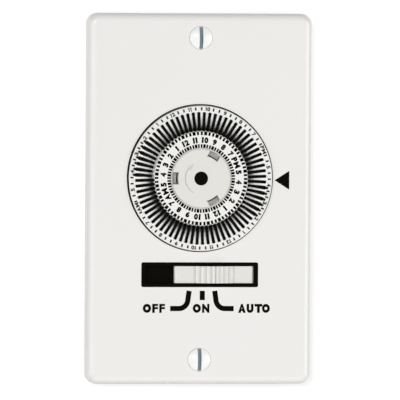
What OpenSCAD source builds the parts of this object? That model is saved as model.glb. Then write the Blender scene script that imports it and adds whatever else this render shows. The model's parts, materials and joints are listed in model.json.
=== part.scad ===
// Wall timer switch: a single-gang plate, a 24-hour dial with captive trippers and a three-position slide.
// Pieces are drawn as seen from the front: x to the right, y up, z from the wall towards the viewer.
// front_view() then stands them up, so that z of a drawing points away from the wall.

/* [Wall plate] */
// Width of the wall plate
plate_w = 69.85; // [69:0.05:76]
// Height of the wall plate
plate_h = 114.3; // [112:0.1:124]
// Depth of the wall plate from the wall to its front face
plate_t = 6; // [5.9:0.1:8]
// Thickness of the plate's walls
plate_wall = 2.2; // [1.8:0.1:2.3]
// Radius of the plate's four corners
plate_corner_r = 3.4; // [3:0.1:8]
// Rounding of the plate's front edge
plate_edge_r = 2.4; // [1:0.1:2.6]
// Distance of a plate screw from the plate's end
plate_screw_inset = 7.55; // [7:0.05:8.5]

/* [Plate screws] */
// Thread diameter of a plate screw
plate_screw_d = 3.5; // [3:0.1:4]
// Head diameter of a plate screw
plate_screw_head_d = 7; // [6:0.1:8]
// Rise of the oval head over the plate
plate_screw_rise = 1; // [0.6:0.1:1.4]
// Depth of the countersunk part of the head
plate_screw_sink = 1.7; // [1.2:0.1:2]
// Length of a plate screw under the plate's face
plate_screw_len = 11; // [9:0.5:14]
// Width of the screwdriver slot
plate_screw_slot = 1.1; // [0.8:0.1:1.6]

/* [Dial] */
// Height of the dial's centre over the plate's centre
dial_up = 6.3; // [5.8:0.1:7]
// Outside diameter of the dial
dial_d = 44.8; // [44.4:0.1:46]
// Gap between the dial and the plate's hole
dial_gap = 0.35; // [0.3:0.05:0.8]
// Height of the dial's rim over the plate
dial_proud = 0.75; // [0.4:0.05:1.2]
// Height of the number ring over the plate
ring_proud = 1.6; // [1.4:0.05:2.2]
// Height of the hub over the plate
hub_proud = 1.7; // [1.4:0.05:2.4]
// Outside radius of the number ring
number_ring_r = 14.7; // [14.2:0.1:14.9]
// Diameter of the hub
hub_d = 18; // [16:0.5:20]
// Diameter of the hole in the middle of the hub
hub_hole_d = 4.3; // [4.2:0.1:5]
// Time of day under the pointer, in hours
clock_time = 16.3667; // [0:0.1:23.9]

/* [Trippers] */
// Thickness of a tripper
tripper_w = 0.7; // [0.5:0.05:0.75]
// Clearance on each side of a tripper in its slot
tripper_clear = 0.1; // [0.1:0.01:0.14]
// Distance a tripper is pulled out
tripper_travel = 0.8; // [0.5:0.05:0.9]
// Outer end of a tripper slot
slot_out_r = 20.45; // [20:0.05:20.8]

/* [Slide] */
// Width of the slide window
window_w = 34; // [32:0.5:36]
// Height of the slide window
window_h = 5.6; // [5:0.1:7]
// Drop of the slide window under the plate's centre
window_drop = 23.4; // [23:0.1:24.5]
// Width of the slide knob
knob_w = 24.6; // [22:0.1:25]
// Gap over and under the knob in the window
knob_gap = 0.2; // [0.15:0.05:0.4]
// Rise of the knob's crest over its flat ends
knob_rise = 2.8; // [1.5:0.1:4]
// Width of one tread of the knob's stairs
knob_tread = 1.6; // [1.2:0.1:1.8]
// Distance between two positions of the slide
slide_step = 4.05; // [3.5:0.05:4.1]
// Position of the slide at ON, right of the plate's centre
slide_mid = 0.55; // [0:0.05:0.6]
// Height of the slide carriage
carriage_h = 9.4; // [8.6:0.1:9.8]

/* [Strap] */
// Thickness of the mounting strap
strap_t = 1.5; // [1.2:0.1:1.6]
// Gap between the strap's sides and the plate's inside
strap_side_gap = 2.725; // [1.8:0.025:3.2]
// Width of the strap's ends
strap_end_w = 44; // [30:1:56]
// Gap between the strap's ends and the plate's inside
strap_end_gap = 1.95; // [1:0.05:2.4]
// Distance between the two wall box holes
box_hole_pitch = 83.34; // [82:0.02:86]
// Diameter of the wall box holes
box_hole_d = 4.2; // [3.8:0.1:5]

/* [Housing] */
// Width of the rear housing
housing_w = 44; // [43.6:0.2:47]
// Depth of the rear housing behind the wall
housing_depth = 31; // [30.9:0.1:36]
// Thickness of the housing's walls
housing_wall = 1.6; // [1.2:0.1:1.7]
// Radius of the housing's corners
housing_corner_r = 4; // [2:0.5:5]
// Drop of the housing's lower end under the plate's centre
housing_drop = 33; // [32.6:0.2:35]
// Depth of the terminal step
step_depth = 19.6; // [18:0.2:22]

/* [Terminals] */
// Distance between two terminals
terminal_pitch = 10.4; // [9.6:0.1:10.5]
// Width of a terminal plate
terminal_w = 8; // [6.5:0.1:8.4]
// Thickness of a terminal plate
terminal_t = 1; // [0.8:0.1:1.4]
// Head diameter of a terminal screw
terminal_head_d = 6; // [5:0.1:6.5]
// Height of the barriers between the terminals
barrier_h = 8; // [5:0.5:10]

/* [Gear train] */
// Module of the gears
gear_module = 0.42; // [0.38:0.01:0.43]
// Pressure angle of the gears
pressure_angle = 25; // [23:0.5:27]
// Play between two meshing teeth
gear_backlash = 0.08; // [0.06:0.01:0.12]
// Thickness of the gears
gear_t = 1.8; // [1.4:0.1:2]
// Direction of the idler from the dial's axis
idler_direction = 120; // [117:1:124]
// Diameter of the dial arbor
arbor_d = 4; // [3.4:0.1:4]
// Diameter of the idler arbor
idler_arbor_d = 2; // [1.6:0.1:2.4]
// Radial clearance of a running fit
running_fit = 0.03; // [0.02:0.01:0.05]

/* [Movement] */
// Distance from the strap to the movement plate
movement_gap = 10.5; // [10:0.1:11]
// Thickness of the movement plate
movement_plate_t = 1.2; // [1:0.1:1.4]
// Diameter of a pillar
pillar_d = 4; // [3.4:0.1:4.4]
// Diameter of the motor
motor_d = 34; // [30:0.5:34.5]
// Depth of the motor case
motor_depth = 15.5; // [12:0.1:15.6]
// Thickness of the motor cap
motor_cap_t = 1.3; // [1:0.1:1.6]
// Drop of the motor's axis under the dial's axis
motor_drop = 2.3; // [1.8:0.1:3]

/* [Switch and lever] */
// Width of the snap switch
switch_w = 10; // [9:0.1:10.4]
// Height of the snap switch
switch_h = 20; // [18:0.5:20.5]
// Thickness of the snap switch
switch_t = 6.4; // [5.8:0.1:6.6]
// Diameter of the switch plunger
plunger_d = 2; // [1.6:0.1:2.4]
// Thickness of the follower lever
lever_t = 1.2; // [1:0.1:1.25]
// Distance of the lever's pivot from the dial's axis, to the right
pivot_right = 27; // [26.6:0.1:27.2]
// Drop of the lever's pivot under the dial's axis
pivot_drop = 13.8; // [13:0.1:14.4]
// Diameter of the lever's pivot
pivot_d = 3; // [2.6:0.1:3.4]
// Diameter of the pin at the lever's tail
lever_pin_d = 2.2; // [1.8:0.1:2.4]

/* [Hidden] */
$fn = 64;
// Running gap between pieces that move past each other, end play, and gap of a seated fit
move_gap = 0.3;
play = 0.1;
seat_gap = 0.02;
// Reach of a cut past a face
cut = 1;

// Heights over the wall
plate_inner = plate_t - plate_wall;
dial_back = plate_inner - play;
dial_face = plate_t + dial_proud;
ring_face = plate_t + ring_proud;
hub_face = plate_t + hub_proud;
valley_floor = plate_t - 0.4;
hub_seat = valley_floor;
lever_back = strap_t + 2 * move_gap;
guide_base_t = 0.6;
carriage_back = strap_t + guide_base_t + move_gap;
carriage_face = plate_inner - move_gap;
gear_front = -0.7;
wheel_front = gear_front - gear_t - 0.9;
movement_front = -movement_gap;
movement_back = movement_front - movement_plate_t;
motor_cap_back = movement_back - motor_cap_t;

// Plate
plate_hollow = [plate_w - 2 * plate_wall, plate_h - 2 * plate_wall];
plate_screw_pitch = plate_h - 2 * plate_screw_inset;
plate_screw_r = plate_screw_d / 2;
plate_screw_head_r = plate_screw_head_d / 2;
head_gap = 0.2;
boss_r = plate_screw_head_r + 0.9;

// Dial and trippers
dial_c = [0, dial_up];
dial_r = dial_d / 2;
dial_hole_r = dial_r + dial_gap;
// The plate's hole sits a little to the left of the dial and over it
dial_hole_c = dial_c + [-0.06, 0.08];
hub_r = hub_d / 2;
hub_boss_r = 3.8;
hub_gap = 0.06;
window_count = 3;
hub_window_w = 3.7;
hub_window_in_r = hub_r - 1.9;
hub_window_clear = 0.5;
hook_gap = 0.25;
hook_rise = 0.4;
rim_bevel = 0.3;
arrow_r = 4.95;
arrow_w = 0.4;
arrow_depth = 0.2;
arrow_from = 141;
arrow_to = 241;
arrow_head_half = 0.75;
arrow_head_len = 2.05;
valley_r = number_ring_r + 0.3;
slope_r = valley_r + 1.7;
slope_top = dial_face - 0.12;
hours = 24;
hour_trippers = 3;
tripper_pitch = 360 / (hours * hour_trippers);
slot_w = tripper_w + 2 * tripper_clear;
slot_in_r = number_ring_r + 0.1;
stem_gap = 0.1;
stem_in = slot_in_r + stem_gap;
stem_out = slot_out_r - tripper_travel - stem_gap;
fin_top = ring_face - play / 2;
fin_bevel = 0.35;
ridge_r = stem_in + 1.1;
tab_out = slot_out_r - play / 2;
tab_in = tab_out - 0.6;
saddle_in = tab_in - 0.95;
tab_bottom = dial_face + play;
saddle_top = tab_bottom + 0.15;
tab_top = saddle_top + 0.15;
foot_in = slot_in_r - 1;
foot_out = slot_out_r + 0.15;
foot_bevel = 0.5;
foot_face = dial_back - 0.25;
arbor_r = arbor_d / 2;
arbor_end = hub_face - 0.35;
arbor_head_t = 0.2;
arbor_pivot_r = 1.2;
bushing_r = arbor_r + 2.2;
bushing_flange_t = 0.4;
bushing_flange_r = bushing_r + 1.2;

// Trippers that are pulled out: whole hours, and the first third of one more hour
hours_out = [2, 3, 14, 15];
split_hour = 4;

// Gears
dial_gear_teeth = 72;
wheel_teeth = 48;
pinion_teeth = 12;
flank_steps = 3;
addendum = 1;
dedendum = 1.25;
gear_boss_r = arbor_r + 2;
gear_boss_t = 0.8;
idler_distance = gear_module * (dial_gear_teeth + pinion_teeth) / 2;
idler_c = dial_c + idler_distance * [cos(idler_direction), sin(idler_direction)];
wheel_tip_r = gear_module * (wheel_teeth / 2 + addendum);
idler_arbor_r = idler_arbor_d / 2;
motor_pinion_distance = gear_module * (wheel_teeth + pinion_teeth) / 2;
motor_pinion_c = idler_c - [0, motor_pinion_distance];
motor_shaft_r = 1.25;

// Clutch and clip behind the dial gear
clutch_front = gear_front - gear_t - gear_boss_t - play;
clutch_t = 0.3;
clutch_rise = 0.5;
clutch_r = arbor_r + 2.5;
clip_front = clutch_front - clutch_t - clutch_rise;
clip_t = 0.5;
clip_r = arbor_r + 1.6;
clip_groove = 0.5;

// Slide
knob_h = window_h - 2 * knob_gap;
knob_face = plate_t - 0.3;
peg_top = knob_face - 0.8;
knob_steps = 4;
knob_bevel = 0.5;
crest_groove = 0.4;
riser_run = 0.45;
carriage_cover = 0.45;
carriage_w = window_w + 2 * slide_step + 2 * slide_mid + 2 * carriage_cover;
carriage_c = [slide_mid + slide_step, -window_drop];
guide_c = [slide_mid, -window_drop];
guide_hollow = [carriage_w + 2 * slide_step + 2 * move_gap, carriage_h + 2 * move_gap];
guide_wall = 1.7;
guide_sill = 3.2;
guide_face = plate_inner - play;
guide_peg_r = 0.8;
notch_r = 0.7;
spring_r = 40;
spring_t = 0.3;
spring_w = 1;
spring_span = 18;
spring_pocket = 1.8;
peg_r = 1.1;
peg_x = 7;
contact_pitch = 8;
contact_pad = [5, 3];
contact_tail = [2, 0.8];
contact_tail_len = 4.5;
contact_room = 0.8;
bridge = [14, 3, 0.3];
bridge_room = 0.2;
dimple_x = 3.8;
dimple_r = 0.8;

// Housing, its screws and the terminal step
housing_top = idler_c.y + wheel_tip_r + 0.8 + housing_wall;
housing_c = [0, (housing_top - housing_drop) / 2];
housing_h = housing_top + housing_drop;
housing_inner_r = housing_w / 2 - housing_wall;
housing_screw_r = 1.4;
housing_screw_head_r = 2.5;
housing_screw_sink = 1.1;
housing_screw_len = 9;
housing_boss_r = 2.5;
housing_boss_len = 10;
boss_inset = 3.5;
step_up = -window_drop + 6.4;
terminal_count = 4;
terminal_up = (step_up - housing_drop) / 2;
terminal_h = 9;
terminal_screw_r = 1.7;
terminal_head_h = 2.2;
terminal_screw_len = 5.5;
terminal_boss_r = 3;
tail = [2.4, 0.8, 5];
barrier_t = 1.4;

// Strap
strap_w = plate_hollow.x - 2 * strap_side_gap;
strap_h = plate_hollow.y - 2 * strap_end_gap;
strap_corner_r = 4;
strap_margin = 2.5;
strap_mid_h = housing_h + 2 * strap_margin;

// Movement
top_pillar = [14, 21.2];
left_pillar = [-17.6, -11];
right_pillar = [17.6, -11];
low_pillar = [-12, -31.3];
pillars = [for (p = [top_pillar, left_pillar, right_pillar, low_pillar]) dial_c + p];
pillar_r = pillar_d / 2;
pillar_spigot_r = 1.2;
movement_screw_r = 0.95;
movement_screw_head_r = 1.9;
movement_screw_head_h = 1.3;
movement_screw_len = 3.2;
motor_c = dial_c - [0, motor_drop];
motor_r = motor_d / 2;
motor_edge_r = 1.5;
motor_cap_rim = 0.3;
motor_ear_out = motor_r + 3;
motor_ear_r = 3;
motor_ears = [for (s = [-1, 1]) motor_c + [0, s * motor_ear_out]];

// Lever and switch
pivot_c = dial_c + [pivot_right, -pivot_drop];
pivot_r = pivot_d / 2;
pivot_shank_r = pivot_r - 0.3;
pivot_head_r = pivot_r + 0.9;
nose_r = 1;
nose_c = dial_c + [foot_out + tripper_travel + move_gap + nose_r, 0];
elbow_c = [pivot_c.x, nose_c.y];
lever_arm_w = 3.4;
lever_pin_r = lever_pin_d / 2;
lever_tail = [8.5, 7];
tail_c = pivot_c - lever_tail;
lever_pin_back = -8;
lever_swing = 3.6;
pin_room = 0.5;
plunger_r = plunger_d / 2;
plunger_end = tail_c.x - lever_pin_r - move_gap;
plunger_out = 1.7;
plunger_len = 4.2;
switch_right = plunger_end - plunger_out;
switch_drop = 2;
switch_c = [switch_right - switch_w / 2, tail_c.y - switch_drop];
switch_back = movement_front;
low_switch_screw = [0, -7];
high_switch_screw = [2.4, 5];
switch_screws = [switch_c + low_switch_screw, switch_c + high_switch_screw];
blade = [4, 3.2, 0.5];
blade_pitch = 7;

function two_digits(n) = str(n < 10 ? "0" : "", n);
function clock_hour(h) = h % 12 == 0 ? 12 : h % 12;
function tripper_name(h) = str("trippers_", h < 12 ? "am_" : "pm_", two_digits(clock_hour(h)));
function is_out(h) = len(search(h, hours_out)) > 0;
function hour_angle(h) = 15 * (h - clock_time);

// Each group of trippers: its name, its hour, which thirds of the hour it holds, and whether it is pulled out
tripper_groups = [
    for (h = [0 : hours - 1])
        each h == split_hour
            ? [[tripper_name(h), h, [1, 2], false], [str(tripper_name(h), "_out"), h, [0], true]]
            : [[tripper_name(h), h, [0, 1, 2], is_out(h)]]
];

// Stands a drawing of the front up against the wall
module front_view() {
    rotate([90, 0, 0]) children();
}

module at(c, z = 0) {
    translate([c.x, c.y, z]) children();
}

module rounded_rect(size, r) {
    square([size.x, size.y - 2 * r], center = true);
    square([size.x - 2 * r, size.y], center = true);
    for (sx = [-1, 1], sy = [-1, 1])
        translate([sx * (size.x / 2 - r), sy * (size.y / 2 - r)]) circle(r);
}

// A straight bar with round ends
module bar(a, b, w) {
    for (c = [a, b]) translate(c) circle(d = w);
    translate((a + b) / 2)
        rotate(atan2(b.y - a.y, b.x - a.x)) square([norm(b - a), w], center = true);
}

// A tube or disc from one height to another
module ring(outer, inner, z0, z1) {
    translate([0, 0, z0]) linear_extrude(z1 - z0) difference() {
        circle(outer);
        circle(inner);
    }
}

module disc(r, z0, z1) {
    translate([0, 0, z0]) cylinder(r = r, h = z1 - z0);
}

// Half of a slab's cross-section: square at the wall, rounded at the front edge
module edge_profile(reach, t, r) {
    square([reach - r, t]);
    square([reach, t - r]);
    intersection() {
        translate([reach - r, t - r]) circle(r);
        square([reach, t]);
    }
}

// A slab with rounded corners whose front edge is rounded too
module rounded_slab(size, t, corner_r, edge_r) {
    c = size / 2 - [corner_r, corner_r];
    for (side = [0, 180]) rotate([0, 0, side]) {
        rotate([90, 0, 0]) linear_extrude(2 * c.y, center = true) edge_profile(size.x / 2, t, edge_r);
        rotate([90, 0, 90]) linear_extrude(2 * c.x, center = true) edge_profile(size.y / 2, t, edge_r);
        for (s = [0, 1]) translate([s == 0 ? c.x : -c.x, c.y, 0]) rotate(s * 90)
            rotate_extrude(angle = 90) edge_profile(corner_r, t, edge_r);
    }
}

module plate_screw_places() {
    for (s = [-1, 1]) translate([0, s * plate_screw_pitch / 2, 0]) children();
}

// The countersunk part of a plate screw's head, with some room round it
module plate_screw_cone(room) {
    translate([0, 0, plate_t - plate_screw_sink])
        cylinder(r1 = plate_screw_r + room, r2 = plate_screw_head_r + room, h = plate_screw_sink);
}

module wall_plate() {
    color("white") front_view() difference() {
        union() {
            difference() {
                rounded_slab([plate_w, plate_h], plate_t, plate_corner_r, plate_edge_r);
                translate([0, 0, -cut]) linear_extrude(plate_inner + cut)
                    rounded_rect(plate_hollow, plate_corner_r / 2);
            }
            plate_screw_places() disc(boss_r, strap_t, plate_inner + plate_wall / 2);
        }
        at(dial_hole_c) disc(dial_hole_r, 0, plate_t + cut);
        at([0, -window_drop], plate_t) cube([window_w, window_h, 2 * plate_wall + cut], center = true);
        plate_screw_places() {
            plate_screw_cone(head_gap);
            disc(plate_screw_r + head_gap, 0, plate_t);
            disc(plate_screw_head_r + head_gap, plate_t, plate_t + cut);
        }
    }
}

module plate_screws() {
    dome_r = (plate_screw_head_r ^ 2 + plate_screw_rise ^ 2) / (2 * plate_screw_rise);
    slot_depth = plate_screw_rise + 0.2;
    color("whitesmoke") front_view() plate_screw_places() difference() {
        union() {
            intersection() {
                translate([0, 0, plate_t + plate_screw_rise - dome_r]) sphere(dome_r);
                disc(plate_screw_head_r, plate_t, plate_t + plate_screw_rise);
            }
            plate_screw_cone(0);
            disc(plate_screw_r, plate_t - plate_screw_len, plate_t - plate_screw_sink);
        }
        translate([0, 0, plate_t + plate_screw_rise])
            cube([plate_screw_slot, 2 * plate_screw_head_d, 2 * slot_depth], center = true);
    }
}

module housing_screw_places() {
    for (s = [-1, 1], y = [housing_top - boss_inset, boss_inset - housing_drop])
        translate([s * (housing_w / 2 - boss_inset), y, 0]) children();
}

module housing_screw_cone(room) {
    translate([0, 0, strap_t - housing_screw_sink]) cylinder(
        r1 = housing_screw_r + room, r2 = housing_screw_head_r + room, h = housing_screw_sink);
}

// Room for the lever's pin over its whole swing
module pin_slot() {
    bar(tail_c, tail_c + lever_swing * PI / 180 * [tail_c.y - pivot_c.y, pivot_c.x - tail_c.x],
        lever_pin_d + 2 * pin_room);
}

module contact_places() {
    for (i = [-1 : 1]) translate(guide_c + [i * contact_pitch, 0]) children();
}

module guide_peg_places() {
    for (s = [-1, 1]) translate(guide_c + [s * (guide_hollow.x + guide_wall) / 2, 0]) children();
}

module mounting_strap() {
    color("silver") front_view() difference() {
        linear_extrude(strap_t) difference() {
            union() {
                translate(housing_c) rounded_rect([strap_w, strap_mid_h], strap_corner_r);
                rounded_rect([strap_end_w, strap_h], strap_corner_r);
            }
            translate(dial_c) circle(bushing_r + seat_gap);
            plate_screw_places() circle(plate_screw_r + running_fit);
            for (s = [-1, 1]) translate([0, s * box_hole_pitch / 2]) circle(d = box_hole_d);
            translate(pivot_c) circle(pivot_shank_r + seat_gap);
            translate(idler_c) circle(idler_arbor_r + seat_gap);
            for (p = pillars) translate(p) circle(pillar_spigot_r + seat_gap);
            housing_screw_places() circle(housing_screw_r + head_gap);
            contact_places() square(contact_tail + 2 * [contact_room, contact_room], center = true);
            guide_peg_places() circle(guide_peg_r + seat_gap);
            pin_slot();
        }
        housing_screw_places() {
            housing_screw_cone(seat_gap);
            disc(housing_screw_head_r + seat_gap, strap_t, strap_t + cut);
        }
    }
}

module housing_screws() {
    color("gainsboro") front_view() housing_screw_places() difference() {
        union() {
            housing_screw_cone(0);
            disc(housing_screw_r, strap_t - housing_screw_len, strap_t - housing_screw_sink);
        }
        translate([0, 0, strap_t]) cube([2 * housing_screw_head_r, 0.8, 1], center = true);
    }
}

// The housing's outline, shrunk by a wall: the whole of it, or what is over the terminal step
module housing_outline(wall) {
    translate(housing_c) rounded_rect([housing_w, housing_h] - 2 * [wall, wall], housing_corner_r - wall / 2);
}

module housing_upper(wall) {
    intersection() {
        housing_outline(wall);
        translate([-housing_w, step_up + wall]) square([2 * housing_w, housing_h]);
    }
}

module terminal_places() {
    for (i = [0 : terminal_count - 1])
        translate([(i - (terminal_count - 1) / 2) * terminal_pitch, terminal_up, 0]) children();
}

module tail_outline(room) {
    translate([0, terminal_h / 2 - tail.y]) square([tail.x + 2 * room, tail.y + 2 * room], center = true);
}

module rear_housing() {
    inner_step = step_depth - housing_wall;
    color("dimgray") front_view() difference() {
        union() {
            difference() {
                union() {
                    translate([0, 0, -step_depth]) linear_extrude(step_depth) housing_outline(0);
                    translate([0, 0, -housing_depth]) linear_extrude(housing_depth) housing_upper(0);
                }
                translate([0, 0, -inner_step]) linear_extrude(inner_step + cut)
                    housing_outline(housing_wall);
                translate([0, 0, housing_wall - housing_depth]) linear_extrude(housing_depth)
                    housing_upper(housing_wall);
            }
            intersection() {
                housing_screw_places()
                    disc(housing_boss_r, -housing_boss_len, 0);
                translate([0, 0, -step_depth]) linear_extrude(step_depth) housing_outline(housing_wall / 2);
            }
            terminal_bosses();
            terminal_barriers();
        }
        housing_screw_places() disc(housing_screw_r + seat_gap, -housing_boss_len + housing_wall, cut);
        terminal_places() {
            disc(terminal_screw_r + seat_gap, -step_depth - cut, -inner_step + cut);
            translate([0, 0, -step_depth - cut]) linear_extrude(step_depth) tail_outline(play);
        }
    }
}

// Round bosses inside the step that take the terminal screws
module terminal_bosses() {
    terminal_places() difference() {
        disc(terminal_boss_r, housing_wall / 2 - step_depth, terminal_screw_len - step_depth);
        disc(terminal_screw_r + seat_gap, -step_depth, cut);
    }
}

// Upright walls on the back of the step, between the terminals and beside them
module terminal_barriers() {
    top = step_up + housing_wall / 2;
    drop = top + housing_drop;
    intersection() {
        for (i = [0 : terminal_count])
            translate([(i - terminal_count / 2) * terminal_pitch - barrier_t / 2, -housing_drop, 0])
                translate([0, 0, -step_depth - barrier_h])
                    cube([barrier_t, drop, barrier_h + housing_wall / 2]);
        translate([0, 0, -housing_depth]) linear_extrude(housing_depth) housing_outline(0);
    }
}

module terminal_plates() {
    color("goldenrod") front_view() terminal_places() difference() {
        union() {
            translate([0, 0, -step_depth - terminal_t]) linear_extrude(terminal_t)
                rounded_rect([terminal_w, terminal_h], 0.6);
            translate([0, 0, -step_depth]) linear_extrude(tail.z) tail_outline(0);
        }
        disc(terminal_screw_r + seat_gap, -step_depth - terminal_t - cut, -step_depth + cut);
    }
}

module terminal_screws() {
    seat = -step_depth - terminal_t;
    color("khaki") front_view() terminal_places() difference() {
        union() {
            disc(terminal_head_d / 2, seat - terminal_head_h, seat);
            disc(terminal_screw_r, seat, seat + terminal_screw_len);
        }
        translate([0, 0, seat - terminal_head_h]) cube([1, terminal_head_d + cut, 2], center = true);
    }
}

module guide_frame(z0, z1) {
    translate([0, 0, z0]) linear_extrude(z1 - z0) translate([0, (guide_wall - guide_sill) / 2])
        rounded_rect(guide_hollow + [2 * guide_wall, guide_wall + guide_sill], 1);
}

module slide_guide() {
    base_face = strap_t + guide_base_t;
    color("#202020") front_view() {
        difference() {
            at(guide_c) guide_frame(strap_t, guide_face);
            at(guide_c, base_face) linear_extrude(guide_face) square(guide_hollow, center = true);
            at(guide_c - [0, guide_hollow.y / 2], base_face) linear_extrude(guide_face)
                square([spring_span + 2 * move_gap, 2 * spring_pocket], center = true);
            contact_places() translate([0, 0, strap_t - cut]) linear_extrude(guide_base_t + 2 * cut)
                square(contact_pad + 2 * [seat_gap, seat_gap], center = true);
        }
        guide_peg_places() disc(guide_peg_r, 0, strap_t);
    }
}

// A bowed leaf whose crest bears up towards the notches of the carriage
module detent_spring() {
    crest = -guide_hollow.y / 2 + move_gap - 0.2;
    color("lightsteelblue") front_view() at(guide_c, carriage_back) linear_extrude(spring_w) intersection() {
        translate([0, crest - spring_r]) difference() {
            circle(spring_r);
            circle(spring_r - spring_t);
        }
        translate([0, crest]) square([spring_span, 2 * spring_pocket], center = true);
    }
}

module selector_contacts() {
    base_face = strap_t + guide_base_t;
    color("peru") front_view() contact_places() {
        translate([0, 0, strap_t + play]) linear_extrude(guide_base_t - play)
            square(contact_pad, center = true);
        translate([0, 0, base_face - contact_tail_len]) linear_extrude(contact_tail_len - play)
            square(contact_tail, center = true);
    }
}

module slide_carriage() {
    color("#161410") front_view() at(carriage_c) {
        difference() {
            translate([0, 0, carriage_back]) linear_extrude(carriage_face - carriage_back) difference() {
                rounded_rect([carriage_w, carriage_h], 0.8);
                for (i = [-1 : 1]) translate([i * slide_step, -carriage_h / 2]) circle(notch_r);
            }
            translate([0, 0, carriage_back]) cube(
                [bridge.x + 2 * bridge_room, bridge.y + 2 * bridge_room, 2 * (bridge.z + bridge_room)],
                center = true);
        }
        for (s = [-1, 1]) translate([s * peg_x, 0, 0]) disc(peg_r, carriage_face, peg_top);
    }
}

// The knob's side view: flat ends, and stairs with slanted risers up to a grooved crest in the middle
module knob_side() {
    riser = knob_rise / knob_steps;
    crest = knob_face + knob_rise;
    groove = [[crest_groove / 2, crest - crest_groove], [crest_groove / 2, crest]];
    right = [
        for (i = [knob_steps - 1 : -1 : 0])
            let(x = knob_tread * (knob_steps - i - 0.4), z = knob_face + i * riser)
                each [[x - riser_run, z + riser], [x, z]]
    ];
    end_x = knob_w / 2;
    ends = [[end_x - knob_bevel, knob_face], [end_x, knob_face - knob_bevel], [end_x, carriage_face]];
    half = concat(groove, right, ends);
    polygon(concat(half, [for (i = [len(half) - 1 : -1 : 0]) [-half[i].x, half[i].y]]));
}

module slider_knob() {
    color("#e1e0da") front_view() at(carriage_c) difference() {
        rotate([90, 0, 0]) linear_extrude(knob_h, center = true) knob_side();
        for (s = [-1, 1])
            translate([s * peg_x, 0, 0]) disc(peg_r + seat_gap, carriage_face - cut, peg_top + play);
    }
}

// A flat spring strip under the carriage with two dimples towards the contact pads
module bridge_contact() {
    back = carriage_back + bridge_room;
    color("orange") front_view() at(carriage_c) {
        translate([0, 0, back + bridge.z / 2]) cube(bridge, center = true);
        for (s = [-1, 1]) translate([s * dimple_x, 0, 0]) disc(dimple_r, back - bridge_room, back);
    }
}

// The dial's cross-section, from its bore out to the rim and back over the trippers' valley
module dial_section() {
    ring_bevel = 0.2;
    groove_in = hub_r + 1;
    groove_out = number_ring_r - 0.8;
    polygon([
        [hub_boss_r + seat_gap, dial_back],
        [groove_in, dial_back],
        [groove_in, hub_seat],
        [groove_out, hub_seat],
        [groove_out, dial_back],
        [dial_r, dial_back],
        [dial_r, dial_face - rim_bevel],
        [dial_r - rim_bevel, dial_face],
        [slot_out_r + rim_bevel, dial_face],
        [slope_r, slope_top],
        [valley_r, valley_floor],
        [number_ring_r, valley_floor],
        [number_ring_r, ring_face - ring_bevel],
        [number_ring_r - ring_bevel, ring_face],
        [hub_r + hub_gap, ring_face],
        [hub_r + hub_gap, hub_seat],
        [hub_boss_r + seat_gap, hub_seat]
    ]);
}

module hub_window_places() {
    for (i = [0 : window_count - 1]) rotate(60 + i * 360 / window_count) children();
}

// Blocks at the hub's three windows: straight sides, and a round inner edge
module hub_window_blocks(in_r, out_r, w, bottom, top) {
    hub_window_places() difference() {
        translate([in_r - cut, -w / 2, bottom]) cube([out_r - in_r + cut, w, top - bottom]);
        disc(in_r, bottom - cut, top + cut);
    }
}

module dial_wheel() {
    hook_in = hub_window_in_r + hub_window_clear;
    hook_w = hub_window_w - 2 * hook_gap;
    color("#f0efe9") front_view() at(dial_c) {
        difference() {
            rotate_extrude() dial_section();
            for (i = [0 : hours * hour_trippers - 1])
                rotate(hour_angle(0) + (i + 0.5) * tripper_pitch)
                    translate([slot_in_r, -slot_w / 2, dial_back - cut])
                        cube([slot_out_r - slot_in_r, slot_w, ring_face]);
            intersection() {
                hub_window_blocks(hub_window_in_r, hub_r, hook_w, dial_back - cut, ring_face);
                disc(hook_in, dial_back - cut, ring_face);
            }
        }
        hub_window_blocks(hook_in, hub_r, hook_w, hub_seat, hub_seat + hook_rise);
    }
}

// The curved arrow sunk in the hub, which shows the way the dial turns
module turn_arrow() {
    floor = hub_face - arrow_depth;
    tail_turn = arrow_from - 1;
    rotate(tail_turn) rotate_extrude(angle = arrow_to - tail_turn)
        translate([arrow_r - arrow_w / 2, floor]) square([arrow_w, cut]);
    rotate(arrow_from) translate([arrow_r, 0, floor]) linear_extrude(cut)
        polygon([[-arrow_head_half, 0], [-arrow_head_half / 2, -arrow_head_len], [arrow_head_half, 0]]);
}

module dial_hub() {
    color("#e3e1db") front_view() at(dial_c) difference() {
        union() {
            disc(hub_r, hub_seat, hub_face);
            disc(hub_boss_r, strap_t + bushing_flange_t + move_gap, hub_seat);
        }
        turn_arrow();
        disc(hub_hole_d / 2, arbor_end, hub_face + cut);
        disc(arbor_r + seat_gap, 0, arbor_end + seat_gap);
        hub_window_blocks(hub_window_in_r, hub_r + cut, hub_window_w, hub_seat - cut, hub_face + cut);
    }
}

module dial_arbor() {
    shoulder = clip_front - clip_t - 0.5;
    color("#1a1a1a") front_view() at(dial_c) {
        disc(hub_hole_d / 2 - seat_gap, arbor_end + seat_gap, arbor_end + arbor_head_t);
        disc(arbor_r, clip_front, arbor_end + seat_gap);
        disc(arbor_r - clip_groove, clip_front - clip_t, clip_front);
        disc(arbor_r, shoulder, clip_front - clip_t);
        disc(arbor_pivot_r, movement_back + 0.2, shoulder);
    }
}

// A coned washer that presses the dial gear through the arbor
module clutch_spring() {
    color("lightsteelblue") front_view() at(dial_c) rotate_extrude() polygon([
        [arbor_r + seat_gap, clip_front],
        [arbor_r + seat_gap, clip_front + clutch_t],
        [clutch_r, clutch_front],
        [clutch_r, clutch_front - clutch_t]
    ]);
}

module arbor_clip() {
    mouth = 2 * (arbor_r - clip_groove) * 0.85;
    color("slategray") front_view() at(dial_c) difference() {
        ring(clip_r, arbor_r - clip_groove + seat_gap, clip_front - clip_t + seat_gap, clip_front);
        translate([0, -clip_r, clip_front - clip_t / 2]) cube([mouth, 2 * clip_r, 2 * clip_t], center = true);
    }
}

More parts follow.
